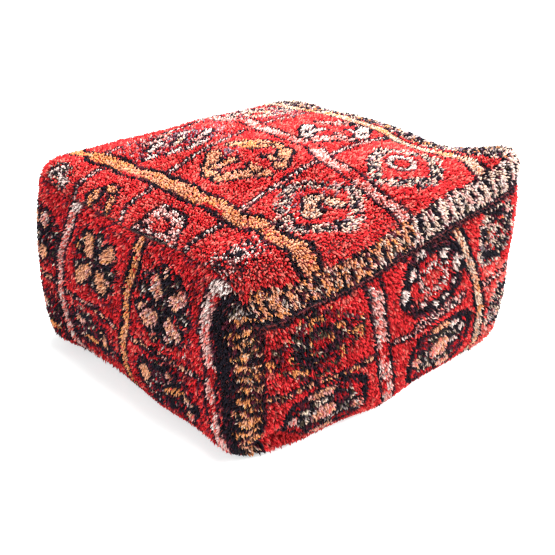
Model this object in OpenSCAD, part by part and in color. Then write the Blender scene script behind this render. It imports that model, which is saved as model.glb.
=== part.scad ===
// Square floor pouf sewn from knotted wool rug, with a stuffed liner and a zipped flat-woven base

/* [Overall size] */
// Width along X between the side panels' pile tips
width = 600; // [460:1:760]
// Depth along Y between the side panels' pile tips
depth = 572; // [460:1:760]
// Height of the top edge, before the crown rises above it
edge_height = 319; // [240:1:400]

/* [Soft shape] */
// Rise of the stuffed crown above the top edge
crown = 43; // [10:1:80]
// Outward swell at the middle of each side
bulge = 18; // [0:1:30]
// How far the sides are drawn in at the base
draw_in = 15; // [0:1:30]
// Rise of the sewn top corners
corner_ear = 16; // [0:1:30]
// Extra rise of the front right top corner, which stands higher
front_right_ear = 22; // [0:1:26]
// Radius of the roll from the top into the sides
top_roll = 28; // [24:1:60]
// Radius of the upright corners
corner_radius = 65; // [50:1:110]
// Radius of the roll from the sides into the base
base_roll = 41; // [26:1:48]

/* [Rug panels] */
// Thickness of the rug, from the back of the weave to the pile tips
rug_thickness = 14; // [8:1:20]
// How far the top panel wraps down over the edge on the left, right and back
side_wrap = 32; // [24:1:90]
// How far the top panel wraps down at the left end of the front
front_left_wrap = 104; // [24:1:130]
// How far the top panel wraps down at the right end of the front
front_right_wrap = 55; // [24:1:130]

/* [Sewing] */
// Thickness of the sewing thread, laid double
thread_d = 2; // [1:0.1:3]
// Clearance between a thread and the cloth edges that it joins
thread_clear = 0.4; // [0.3:0.1:0.7]

/* [Base cloth] */
// Thickness of the flat-woven base cloth
base_thickness = 4; // [3:0.5:6]
// Width of the folded hem beside the zip
hem_width = 30; // [22:1:45]
// Distance from the pile tips at the front and back to the ends of the zip opening
slit_margin = 86; // [78:1:130]
// Width of the zip opening between the hems
slit_width = 18; // [17:0.5:24]

/* [Zip] */
// Width of one zip tape
tape_width = 16; // [12:0.5:20]
// Thickness of a zip tape
tape_thickness = 0.8; // [0.5:0.1:1.2]
// Gap between a tape and the hem that it lies on
tape_gap = 0.2; // [0.1:0.1:0.4]
// Distance between neighbouring teeth of one row
tooth_pitch = 3.2; // [2.8:0.1:4]
// Width of a tooth along the zip
tooth_width = 1.2; // [0.8:0.1:1.3]
// Height of a tooth through the tape
tooth_height = 4; // [3:0.1:4.4]
// Width of the bead that carries a row of teeth
bead_width = 1.4; // [1:0.1:2]
// Half of the gap between the two beads
bead_inset = 1; // [0.8:0.1:1.4]
// How far a tooth reaches past the middle of the zip
tooth_reach = 0.8; // [0.4:0.1:0.9]
// Length of the slider along the zip
slider_length = 18; // [14:0.5:22]
// Width of the slider
slider_width = 15; // [13:0.5:16]
// Thickness of the slider's two plates
slider_plate = 1.2; // [0.8:0.1:1.6]
// Width of the slider's side lips
slider_lip = 1.4; // [1:0.1:1.6]
// Length of the wedge that parts the two rows
wedge_length = 6; // [4:0.5:7]
// Width of the wedge
wedge_width = 3.2; // [2:0.1:3.8]
// Running clearance in the zip
zip_clear = 0.5; // [0.3:0.1:0.6]
// Diameter of the pin that the pull tab hangs on
pin_d = 1.4; // [1:0.1:1.6]
// Clearance of the pull tab on its pin
pin_clear = 0.3; // [0.2:0.1:0.4]
// Wall of the pull tab's eye
eye_wall = 0.5; // [0.4:0.1:0.7]
// Thickness of a lug that holds the pin
lug_thickness = 1.4; // [1:0.1:2]
// Length of the pull tab from its pin
tab_length = 22; // [16:1:26]
// Width of the pull tab
tab_width = 5.4; // [4:0.1:6]
// Thickness of the pull tab
tab_thickness = 1.4; // [1:0.1:1.6]
// Hole in the end of the pull tab
tab_hole_d = 2.6; // [2:0.1:3]
// Length of the stops at the zip's ends
stop_length = 3; // [2:0.5:6]

/* [Filling] */
// Thickness of the cotton liner
liner_thickness = 1.2; // [0.8:0.1:2]
// Gap between the liner and what lies against it
layer_gap = 1.2; // [1:0.1:1.6]

/* [Hidden] */

half_w = width / 2;
half_d = depth / 2;
seam_gap = thread_d + 2 * thread_clear;
// The zip opening grows with the depth
slit_length = depth - 2 * slit_margin;
// Part of the half width that is left at the floor
foot_scale = 1 - draw_in / half_w;
foot_w = (half_w - base_roll) * foot_scale;
foot_d = (half_d - base_roll) * foot_scale;
foot_r = max(corner_radius - base_roll, 4) * foot_scale;
// Share of a side's half length that is cut away for the thread in its upright seam
edge_cut_w = seam_gap / foot_w;
edge_cut_d = seam_gap / foot_d;
sheet_flat = (half_w + half_d) / 2 - top_roll;
sheet_roll = top_roll * PI / 2;
roll_from = sheet_flat / (sheet_flat + side_wrap);
// Way down a side along the cloth, from the start of the top roll to the start of the base roll
side_fall = sheet_roll + edge_height - top_roll - base_roll;

// Grid lines of a half sheet: even ones on the flat, then even ones on the part that wraps down
flat_cells = 5;
wrap_cells = 4;
half_fine = concat([for (i = [0:flat_cells - 1]) roll_from * i / flat_cells],
    [for (i = [0:wrap_cells]) roll_from + (1 - roll_from) * i / wrap_cells]);
half_coarse = concat([0, roll_from * 2 / flat_cells, roll_from * 4 / flat_cells],
    [for (i = [flat_cells:len(half_fine) - 1]) half_fine[i]]);
function both_ways(h) = concat([for (i = [len(h) - 1:-1:1]) -h[i]], h);
fine = both_ways(half_fine);
coarse = both_ways(half_coarse);
// Steps down a side: 0 to 1 on the wall, 1 to 2 on the base roll
drop_fine = [0, 0.25, 0.5, 0.75, 1, 4 / 3, 5 / 3, 2];
drop_coarse = [0.25, 0.5, 1, 4 / 3, 5 / 3, 2];

function clamped(v, lo, hi) = min(max(v, lo), hi);
function eased(v) = let (c = clamped(v, 0, 1)) c * c * (3 - 2 * c);
function unit(v) = v / max(norm(v), 1e-9);
// Way along the cloth from the start of the top roll to the top seam, at a place on the square loop
function front_wrap(ex) = front_right_wrap + (front_left_wrap - front_right_wrap) * pow(clamped(1 - (ex + 0.85) / 1.35, 0, 1), 1.1);
function wrap_at(e) = side_wrap + (front_wrap(e[0]) - side_wrap) * pow(clamped((-e[1] - 0.75) / 0.25, 0, 1), 2);
// The gap of the top seam opens outwards where the seam lies on the roll
function rim_gap(e) = seam_gap * (1 + 0.5 * clamped((sheet_roll + 4 - wrap_at(e)) / 8, 0, 1));

// Point of a square loop with half sizes A and B and rounded corners
function loop(ex, ey, A, B, r) = let (
    q = [ex * A, ey * B],
    c = [clamped(q[0], r - A, A - r), clamped(q[1], r - B, B - r)],
    d = q - c, n = norm(d)) n > 1e-6 ? c + d * r / n : c;

// Stuffing: crown on top, swell at the sides, drawn in at the base, raised corners
function stuffed(q) = let (
    u = q[0] / half_w, v = q[1] / half_d, w = q[2] / edge_height,
    bx = clamped(1 - u * u, 0, 1), by = clamped(1 - v * v, 0, 1),
    bz = clamped(1 - pow(2 * w - 1, 2), 0, 1), up = clamped(2 * w - 1, 0, 1),
    ear = (corner_ear * pow(u * v, 4) + front_right_ear * exp(-pow((u - 1) / 0.45, 2) - pow((v + 1) / 0.5, 2))) * up * up,
    k = 1 - (draw_in / half_w) * pow(1 - clamped(w, 0, 1), 2))
    [q[0] * k + sign(q[0]) * bulge * by * bz * u * u,
     q[1] * k + sign(q[1]) * bulge * bx * bz * v * v,
     q[2] + crown * pow(bx * by, 0.8) * up + ear];

// Point of the top sheet at s, t from -1 to 1, set in from the pile tips
function top_point(s, t, inset) = let (
    m = max(abs(s), abs(t)), ex = m > 0 ? s / m : 0, ey = m > 0 ? t / m : 0,
    flat = clamped(m / roll_from, 0, 1),
    way = clamped((m - roll_from) / (1 - roll_from), 0, 1) * (wrap_at([ex, ey]) - rim_gap([ex, ey]) / 2),
    phi = 90 * clamped(way / sheet_roll, 0, 1), ro = top_roll - inset,
    A = (half_w - top_roll) * flat + ro * sin(phi), B = (half_d - top_roll) * flat + ro * sin(phi),
    r = min((corner_radius - inset) * pow(eased(m), 1.5), 0.98 * min(A, B)),
    p = loop(ex, ey, A, B, r))
    stuffed([p[0], p[1], edge_height - top_roll + ro * cos(phi) - max(way - sheet_roll, 0)]);

// Point at a way along the cloth from the start of the top roll, down to the start of the base roll
function side_point(e, way, inset) = let (
    phi = 90 * clamped(way / sheet_roll, 0, 1), ro = top_roll - inset, in = inset + ro * (1 - sin(phi)),
    p = loop(e[0], e[1], half_w - in, half_d - in, corner_radius - inset))
    stuffed([p[0], p[1], edge_height - top_roll + ro * cos(phi) - max(way - sheet_roll, 0)]);
// Point on the walls: e is the place on the square loop, w the step down, set in from the pile tips
function wall_point(e, w, inset) = let (
    rim = wrap_at(e) + rim_gap(e) / 2, ro = base_roll - inset,
    phi = 90 * clamped(w - 1, 0, 1), in = inset + ro * (1 - cos(phi)),
    p = loop(e[0], e[1], half_w - in, half_d - in, max(corner_radius - in, 4)))
    w <= 1 ? side_point(e, rim + w * (side_fall - rim), inset) : stuffed([p[0], p[1], base_roll - ro * sin(phi)]);

// Places on the square loop, side by side from the front to the left
function on_side(side, u) = side == 0 ? [u, -1] : side == 1 ? [1, u] : side == 2 ? [-u, 1] : [-1, -u];
function loop_places(lines) = [for (side = [0:3]) for (i = [0:len(lines) - 2]) on_side(side, lines[i])];

// One of the two triangles of a grid cell, split so that the cuts run towards the grid's corners, or across them
function cell(i, j, nx, ny, k, way = 1) = let (
    p = i * ny + j, straight = way * (2 * i + 2 - nx) * (2 * j + 2 - ny) >= 0)
    straight ? (k == 0 ? [p, p + 1, p + ny + 1] : [p, p + ny + 1, p + ny])
    : (k == 0 ? [p, p + 1, p + ny] : [p + 1, p + ny + 1, p + ny]);

// Shell between two grids of nx by ny points, given row by row; lean turns the cuts of its last rim
module shell(outer, inner, nx, ny, lean = false) {
    n = nx * ny;
    faces = concat(
        [for (i = [0:nx - 2]) for (j = [0:ny - 2]) for (k = [0, 1]) cell(i, j, nx, ny, k)],
        [for (i = [0:nx - 2]) for (j = [0:ny - 2]) for (k = [0, 1]) let (f = cell(i, j, nx, ny, k))
            [n + f[2], n + f[1], n + f[0]]],
        [for (i = [0:nx - 2]) for (k = [0:3]) let (p = i * ny, q = i * ny + ny - 1)
            k == 0 ? [p, p + ny, n + p + ny] : k == 1 ? [p, n + p + ny, n + p]
            : k == 2 ? [q + ny, q, n + q + (lean ? 0 : ny)] : lean ? [q + ny, n + q, n + q + ny] : [q, n + q, n + q + ny]],
        [for (j = [0:ny - 2]) for (k = [0:3]) let (p = j, q = (nx - 1) * ny + j)
            k == 0 ? [p + 1, p, n + p] : k == 1 ? [p + 1, n + p, n + p + 1]
            : k == 2 ? [q, q + 1, n + q + 1] : [q, n + q + 1, n + q]]);
    polyhedron(points = concat(outer, inner), faces = faces, convexity = 6);
}

// Tube through rings of points, closed on itself or capped
module tube(rings, closed) {
    n = len(rings);
    k = len(rings[0]);
    last = closed ? n - 1 : n - 2;
    sides = [for (i = [0:last]) for (j = [0:k - 1]) for (h = [0, 1]) let (
        a = i * k + j, b = i * k + (j + 1) % k, c = ((i + 1) % n) * k + j, d = ((i + 1) % n) * k + (j + 1) % k)
        h == 0 ? [a, b, d] : [a, d, c]];
    caps = closed ? [] : [[for (j = [k - 1:-1:0]) j], [for (j = [0:k - 1]) (n - 1) * k + j]];
    polyhedron(points = [for (r = rings) for (p = r) p], faces = concat(sides, caps), convexity = 6);
}

// Ring of a thread about a point, across two directions
function thread_ring(c, n, t) = [for (i = [0:5]) c + thread_d / 2 * (cos(60 * i) * n + sin(60 * i) * t)];

// Closed stuffed form, set in from the pile tips, with its foot at a height above the floor
module filled_form(inset, foot) {
    lines = coarse;
    n = len(lines);
    places = loop_places(lines);
    m = len(places);
    grid = [for (s = lines) for (t = lines) top_point(s, t, inset)];
    walls = [for (w = drop_coarse) for (e = places) wall_point(e, w, inset)];
    sole = [for (e = places) let (p = loop(e[0], e[1], foot_w - seam_gap - layer_gap, foot_d - seam_gap - layer_gap, max(foot_r - seam_gap, 2))) [p[0], p[1], foot]];
    rim = [for (side = [0:3]) for (i = [0:n - 2])
        side == 0 ? i * n : side == 1 ? (n - 1) * n + i : side == 2 ? (n - 1 - i) * n + n - 1 : n - 1 - i];
    function at(ring, i) = ring < 0 ? rim[i % m] : n * n + ring * m + i % m;
    rings = len(drop_coarse) + 1;
    faces = concat(
        [for (i = [0:n - 2]) for (j = [0:n - 2]) for (k = [0, 1]) cell(i, j, n, n, k, -1)],
        [for (r = [-1:rings - 2]) for (i = [0:m - 1]) for (k = [0, 1])
            k == 0 ? [at(r, i), at(r, i + 1), at(r + 1, i + 1)] : [at(r, i), at(r + 1, i + 1), at(r + 1, i)]],
        [[for (i = [0:m - 1]) at(rings - 1, i)]]);
    polyhedron(points = concat(grid, walls, sole), faces = faces, convexity = 6);
}

// Room over the zip in the underside of the filling
module zip_room(extra) {
    w = slit_width / 2 + hem_width + layer_gap + extra;
    d = slit_length / 2 + hem_end + layer_gap + extra;
    translate([-w, -d, -1]) cube([2 * w, 2 * d, 1 + slider_top + layer_gap + extra]);
}
module filling(inset, foot, extra) {
    difference() {
        filled_form(inset, foot);
        zip_room(extra);
    }
}

module top_panel() {
    n = len(fine);
    color([0.72, 0.13, 0.12])
        shell([for (s = fine) for (t = fine) top_point(s, t, 0)],
            [for (s = fine) for (t = fine) top_point(s, t, rug_thickness)], n, n);
}

module side_panel(side) {
    cut = side % 2 == 0 ? edge_cut_w : edge_cut_d;
    lines = [for (u = fine) u * (1 - (abs(u) > 0.999 ? cut : 0))];
    n = len(drop_fine);
    color([0.66, 0.11, 0.12])
        shell([for (u = lines) for (j = [n - 1:-1:0]) wall_point(on_side(side, u), drop_fine[j], 0)],
            [for (u = lines) for (j = [n - 1:-1:0]) wall_point(on_side(side, u), drop_fine[j], rug_thickness)],
            len(lines), n, side == 1);
}
module side_panel_front() { side_panel(0); }
module side_panel_right() { side_panel(1); }
module side_panel_back() { side_panel(2); }
module side_panel_left() { side_panel(3); }

// Base cloth: one half of a rounded sheet with a folded hem along the zip
hem_end = 6;
base_w = foot_w - seam_gap;
base_d = foot_d - seam_gap;
base_r = max(foot_r - seam_gap, 1);
module base_outline() {
    polygon([for (e = loop_places(fine)) loop(e[0], e[1], base_w, base_d, base_r)]);
}
module base_half() {
    color([0.56, 0.47, 0.36])
        difference() {
            union() {
                linear_extrude(base_thickness) intersection() {
                    base_outline();
                    translate([seam_gap / 2, -depth]) square([width, 2 * depth]);
                }
                translate([slit_width / 2, -slit_length / 2 - hem_end, 0])
                    cube([hem_width, slit_length + 2 * hem_end, 2 * base_thickness]);
            }
            translate([-1, -slit_length / 2, -1]) cube([1 + slit_width / 2, slit_length, 2 * base_thickness + 2]);
        }
}
module base_panel_right() { base_half(); }
module base_panel_left() { mirror([1, 0, 0]) base_half(); }

// Threads in the seams
thread_depth = 0.6;
function seam_point(e, inset) = side_point(e, wrap_at(e), inset);
module top_seam_thread() {
    color([0.16, 0.13, 0.15])
        tube([for (e = loop_places(fine)) let (
            p = seam_point(e, rug_thickness), o = seam_point(e, 0), n = unit(o - p))
            thread_ring(o + (p - o) * thread_depth, n, unit([0, 0, 1] - n * n[2]))], true);
}
module base_seam_thread() {
    color([0.16, 0.13, 0.15])
        tube([for (e = loop_places(fine)) let (
            p = loop(e[0], e[1], foot_w - seam_gap / 2, foot_d - seam_gap / 2, max(foot_r - seam_gap / 2, 1)),
            o = loop(e[0], e[1], foot_w, foot_d, foot_r))
            thread_ring([p[0], p[1], base_thickness / 2], unit([o[0] - p[0], o[1] - p[1], 0]), [0, 0, 1])], true);
}
module corner_thread(ex, ey) {
    steps = [for (w = drop_fine) w == 0 ? 0.02 : w == 2 ? 1.95 : w];
    color([0.16, 0.13, 0.15])
        tube([for (w = steps) let (
            o = wall_point([ex, ey], w, 0), p = wall_point([ex, ey], w, rug_thickness))
            thread_ring(o + (p - o) * thread_depth, unit(o - p), unit([-ey, ex, 0]))], false);
}
module corner_thread_front_left() { corner_thread(-1, -1); }
module corner_thread_front_right() { corner_thread(1, -1); }
module corner_thread_back_right() { corner_thread(1, 1); }
module corner_thread_back_left() { corner_thread(-1, 1); }
module base_centre_thread(way) {
    from = slit_length / 2 + thread_clear;
    color([0.16, 0.13, 0.15])
        translate([0, way > 0 ? from : -base_d + thread_clear, base_thickness / 2])
            rotate([-90, 0, 0]) cylinder(d = thread_d, h = base_d - from - thread_clear, $fn = 24);
}
module base_centre_thread_front() { base_centre_thread(-1); }
module base_centre_thread_back() { base_centre_thread(1); }

// Zip: tapes on the hems, two rows of teeth, a slider with a hinged pull tab, and stops
tape_z = 2 * base_thickness + tape_gap;
zip_z = tape_z + tape_thickness / 2;
chain_edge = bead_inset + bead_width;
tape_from = chain_edge + thread_clear;
plate_in = tooth_height / 2 + zip_clear;
slider_top = zip_z + plate_in + slider_plate;
slider_under = zip_z - plate_in - slider_plate;
pin_z = slider_under - pin_d / 2 - pin_clear - eye_wall - 0.2;
tab_reach = tab_length + pin_d;
slider_rest = slit_length / 2 - max(tab_reach, slider_length / 2 + stop_length + zip_clear) - zip_clear;
slider_travel = 2 * slider_rest;
chain_from = -slider_rest - slider_length / 2 - zip_clear;
chain_to = slider_rest + slider_length / 2 - wedge_length - zip_clear;
tape_end = slit_length / 2 + hem_end / 2;
echo(slider_rest = slider_rest, slider_travel = slider_travel, pin_z = pin_z, slider_top = slider_top);

module zip_tape(way) {
    color([0.42, 0.36, 0.28])
        translate([way > 0 ? tape_from : -tape_from - tape_width, -tape_end, tape_z])
            cube([tape_width, 2 * tape_end, tape_thickness]);
}
module zip_tape_left() { zip_tape(-1); }
module zip_tape_right() { zip_tape(1); }

module zip_teeth(shift) {
    count = floor((chain_to - chain_from - tooth_pitch) / tooth_pitch);
    color([0.62, 0.50, 0.27])
        translate([0, 0, zip_z - tooth_height / 2]) linear_extrude(tooth_height) polygon(concat(
            [[chain_edge, chain_from], [chain_edge, chain_to], [bead_inset, chain_to]],
            [for (k = [count - 1:-1:0]) let (y = chain_from + tooth_pitch * (k + 0.5 + shift))
                each [[bead_inset, y + tooth_width / 2], [-tooth_reach, y + tooth_width / 2],
                    [-tooth_reach, y - tooth_width / 2], [bead_inset, y - tooth_width / 2]]],
            [[bead_inset, chain_from]]));
}
module zip_teeth_right() { zip_teeth(0); }
module zip_teeth_left() { mirror([1, 0, 0]) zip_teeth(0.5); }

module zip_slider() {
    lip_in = tape_thickness / 2 + zip_clear;
    lug_x = tab_width / 2 + pin_clear;
    color([0.55, 0.45, 0.25])
        translate([0, slider_rest, zip_z]) {
            for (z = [-plate_in - slider_plate, plate_in])
                translate([-slider_width / 2, -slider_length / 2, z]) cube([slider_width, slider_length, slider_plate]);
            for (x = [-slider_width / 2, slider_width / 2 - slider_lip], z = [-plate_in, lip_in])
                translate([x, -slider_length / 2, z]) cube([slider_lip, slider_length, plate_in - lip_in]);
            translate([-wedge_width / 2, slider_length / 2 - wedge_length, -plate_in]) cube([wedge_width, wedge_length, 2 * plate_in]);
            for (x = [-lug_x - lug_thickness, lug_x])
                translate([x, -pin_d, pin_z - zip_z - pin_d]) cube([lug_thickness, 2 * pin_d, slider_under - pin_z + pin_d]);
            translate([-lug_x - lug_thickness, 0, pin_z - zip_z]) rotate([0, 90, 0])
                cylinder(d = pin_d, h = 2 * (lug_x + lug_thickness), $fn = 32);
        }
}

module zip_pull() {
    eye_d = pin_d + 2 * pin_clear + 2 * eye_wall;
    color([0.55, 0.45, 0.25])
        translate([0, slider_rest, pin_z]) difference() {
            union() {
                translate([-tab_width / 2, 0, 0]) rotate([0, 90, 0]) cylinder(d = eye_d, h = tab_width, $fn = 32);
                translate([-tab_width / 2, -tab_length + tab_width / 2, -tab_thickness / 2])
                    cube([tab_width, tab_length - tab_width / 2, tab_thickness]);
                translate([0, -tab_length + tab_width / 2, -tab_thickness / 2]) cylinder(d = tab_width, h = tab_thickness, $fn = 48);
            }
            translate([-tab_width, 0, 0]) rotate([0, 90, 0]) cylinder(d = pin_d + 2 * pin_clear, h = 2 * tab_width, $fn = 32);
            translate([0, -tab_length + tab_width / 2, -tab_thickness]) cylinder(d = tab_hole_d, h = 2 * tab_thickness, $fn = 32);
        }
}

// Crimped stop on the edge of one tape, just past the closed slider
module zip_top_stop(way) {
    grip = 2.4;
    leg = 1;
    color([0.62, 0.50, 0.27])
        scale([way, 1, 1]) translate([tape_from - tape_gap, slider_rest + slider_length / 2 + zip_clear, zip_z])
            difference() {
                translate([-leg, 0, -tape_thickness / 2 - tape_gap - leg])
                    cube([leg + grip, stop_length, tape_thickness + 2 * tape_gap + 2 * leg]);
                translate([0, -1, -tape_thickness / 2 - tape_gap]) cube([grip + 1, stop_length + 2, tape_thickness + 2 * tape_gap]);
            }
}
module zip_top_stop_left() { mirror([1, 0, 0]) zip_top_stop(1); }
module zip_top_stop_right() { zip_top_stop(1); }

module zip_bottom_stop() {
    color([0.62, 0.50, 0.27])
        translate([-chain_edge, chain_from - stop_length - thread_clear, zip_z - tooth_height / 2])
            cube([2 * chain_edge, stop_length, tooth_height]);
}

module liner_bag() {
    inset = rug_thickness + layer_gap;
    color([0.90, 0.86, 0.76])
        difference() {
            filling(inset, base_thickness + layer_gap, 0);
            filling(inset + liner_thickness, base_thickness + layer_gap + liner_thickness, liner_thickness);
        }
}

module stuffing() {
    inset = rug_thickness + 2 * layer_gap + liner_thickness;
    color([0.86, 0.80, 0.70])
        filling(inset, base_thickness + 2 * layer_gap + liner_thickness, liner_thickness + layer_gap);
}

top_panel();
side_panel_front();
side_panel_right();
side_panel_back();
side_panel_left();
base_panel_left();
base_panel_right();
top_seam_thread();
base_seam_thread();
corner_thread_front_left();
corner_thread_front_right();
corner_thread_back_right();
corner_thread_back_left();
base_centre_thread_front();
base_centre_thread_back();
zip_tape_left();
zip_tape_right();
zip_teeth_left();
zip_teeth_right();
zip_slider();
zip_pull();
zip_top_stop_left();
zip_top_stop_right();
zip_bottom_stop();
liner_bag();
stuffing();
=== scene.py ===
"""Square floor pouf sewn from knotted wool rug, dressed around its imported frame."""
import math

import bmesh
import bpy
import numpy as np
from bpy.props import FloatProperty, FloatVectorProperty, IntProperty, PointerProperty
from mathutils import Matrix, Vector


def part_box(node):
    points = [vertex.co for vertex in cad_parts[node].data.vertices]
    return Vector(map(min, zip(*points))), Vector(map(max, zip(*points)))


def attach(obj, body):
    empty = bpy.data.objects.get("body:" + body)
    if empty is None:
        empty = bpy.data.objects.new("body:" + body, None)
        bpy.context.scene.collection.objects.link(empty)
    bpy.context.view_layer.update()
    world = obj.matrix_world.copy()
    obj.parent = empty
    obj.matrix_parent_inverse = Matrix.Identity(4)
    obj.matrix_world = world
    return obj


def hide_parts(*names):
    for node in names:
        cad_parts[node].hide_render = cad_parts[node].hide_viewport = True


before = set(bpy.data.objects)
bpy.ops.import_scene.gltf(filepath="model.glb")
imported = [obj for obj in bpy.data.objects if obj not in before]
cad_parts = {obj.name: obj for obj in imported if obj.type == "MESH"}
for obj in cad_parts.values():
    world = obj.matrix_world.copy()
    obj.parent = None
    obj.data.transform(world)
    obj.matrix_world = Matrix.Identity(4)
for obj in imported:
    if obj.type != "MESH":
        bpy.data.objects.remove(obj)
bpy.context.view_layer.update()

bl_info = {
    "name": "Square Rug Pouf",
    "version": (1, 0, 0),
    "blender": (4, 5, 0),
    "location": "View3D > Sidebar > Pouf",
    "description": "Builds a stuffed pouf of knotted rug panels with a zipped base",
    "category": "Add Mesh",
}

SIDES = ("front", "right", "back", "left")
# Depth under the pile tips at which the knots' spacing is measured, in metres
SPACING_DEPTH = 0.004
# How far from a seam the pile is drawn in, in metres
PINCH_REACH = 0.009
# Height of the middle of the cloth that lies on the floor, in metres
FLOOR_CLOTH = 0.002
# Lowest height of a tuft's corner, in metres
TUFT_FLOOR = 0.0006
# Seam thread: its radius, its way round on the cloth map, its stitches' length and swing, in metres
THREAD_RADIUS, THREAD_ROUND, STITCH_LENGTH, STITCH_SWING = 0.00075, 0.006, 0.0075, 0.0006
# Half the width and depth of the top panel laid flat, and the depth of its front border, in millimetres
TOP_SIZE = (333.5, 316.4)
TOP_BORDER = 48.0
# Where the top panel's pile is parted into pieces, from left to right, in millimetres
TOP_PARTINGS = (-208, 24)
# Each side's pattern: where it starts down the cloth, its height and between which places across it the
# pile is not shaggy, in millimetres; how hard its seams are drawn in; its field, darkened on the left as
# painted shade; how uneven its knots are, which also sets how strongly they are lighter at their middle
# and darker where their tufts part, as painted light and shade
SIDE_PATTERNS = {
    "front": dict(start=97.4, height=196.6, shaggy=(-280, 999), pinch=0.6, field="front field", depth=1.6),
    "right": dict(start=34.0, height=255.0, shaggy=(-999, 999), pinch=0.3, field="front field", depth=1.6),
    "back": dict(start=34.0, height=255.0, shaggy=(-999, 999), pinch=0.3, field="front field", depth=1.6),
    "left": dict(start=61.4, height=232.6, shaggy=(-999, 230), pinch=0.15, field="left field", depth=2.0),
}


def dye(code):
    """A dye's code, two hex digits each of red, green and blue, as a linear colour."""
    channels = [int(code[i:i + 2], 16) / 255 for i in (0, 2, 4)]
    return [c / 12.92 if c < 0.04045 else ((c + 0.055) / 1.055) ** 2.4 for c in channels]


def length(name, text, value):
    return FloatProperty(name=name, description=text, default=value, min=0, max=1, unit="LENGTH",
                         precision=4)


def yarn_colour(name, text, code):
    return FloatVectorProperty(name=name, description=text, default=dye(code), size=3, min=0, max=1,
                               subtype="COLOR")


class PoufShape(bpy.types.PropertyGroup):
    """Sizes of the stuffed cover, the same as in the part's source."""
    width: length("Width", "Width between the side panels' pile tips", 0.600)
    depth: length("Depth", "Depth between the side panels' pile tips", 0.572)
    edge_height: length("Edge height", "Height of the top edge before the crown", 0.319)
    crown: length("Crown", "Rise of the stuffed crown", 0.043)
    bulge: length("Bulge", "Outward swell at the middle of each side", 0.018)
    draw_in: length("Draw in", "How far the sides are drawn in at the base", 0.015)
    corner_ear: length("Corner ear", "Rise of the sewn top corners", 0.016)
    front_right_ear: length("Front right ear",
                            "Extra rise of the front right top corner, which stands higher", 0.022)
    top_roll: length("Top roll", "Radius of the roll from the top into the sides", 0.028)
    corner_radius: length("Corner radius", "Radius of the upright corners", 0.065)
    base_roll: length("Base roll", "Radius of the roll from the sides into the base", 0.041)
    rug_thickness: length("Rug thickness", "From the back of the weave to the pile tips", 0.014)
    side_wrap: length("Side wrap", "How far the top panel wraps down on the left, right and back", 0.032)
    front_left_wrap: length("Front left wrap",
                            "How far the top panel wraps down at the left end of the front", 0.104)
    front_right_wrap: length("Front right wrap",
                             "How far the top panel wraps down at the right end of the front", 0.055)
    seam_gap: length("Seam gap", "Gap that the sewing thread fills", 0.0028)
    lumps: length("Lumps", "Unevenness of the stuffing", 0.0035)


class PoufPile(bpy.types.PropertyGroup):
    """Sizes of the knotted pile."""
    knot_pitch: length("Knot pitch", "Distance between neighbouring knots", 0.0033)
    yarn_radius: length("Yarn radius", "Half the thickness of a tuft", 0.0016)
    ground_inset: length("Ground inset", "Depth of the woven ground under the pile tips", 0.0080)
    top_lean: length("Top lean", "How far a tuft's tip leans over on the top", 0.0038)
    side_lean: length("Side lean", "How far a tuft's tip hangs down on the sides", 0.0046)
    border_lean: length("Border lean", "How far a tuft's tip hangs down in the front border", 0.0048)
    seam_pinch: length("Seam pinch", "How far the pile is drawn in along a seam", 0.006)
    seed: IntProperty(name="Seed", description="Start of the random draws", default=7, min=0)


class PoufColours(bpy.types.PropertyGroup):
    """Dyes of the wool and colours of the other cloths."""
    red: yarn_colour("Red", "Field of the rug", "da3134")
    rose: yarn_colour("Rose", "Faded knots of the field", "ec6c62")
    deep_red: yarn_colour("Deep red", "Darker batches of the field", "b0151f")
    orange: yarn_colour("Orange", "Warm bands", "ee9a5e")
    peach: yarn_colour("Peach", "Paler bands and petals", "eea884")
    pink: yarn_colour("Pink", "Bands and petals", "e8aaa2")
    white: yarn_colour("White", "Undyed wool with a pink cast", "e8d5cc")
    cream: yarn_colour("Cream", "Undyed wool", "e8ccb6")
    navy: yarn_colour("Navy", "Outlines", "1b1721")
    maroon: yarn_colour("Maroon", "Softer outlines", "5a2030")
    olive: yarn_colour("Olive", "Dark flecks", "4b4334")
    grey: yarn_colour("Grey", "Pale flecks among the outlines", "a89b97")
    mauve: yarn_colour("Mauve", "Faded knots of the right border", "8d7683")
    canvas: yarn_colour("Canvas", "Base cloth", "b3a184")
    calico: yarn_colour("Calico", "Liner bag", "e4dac2")


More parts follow.
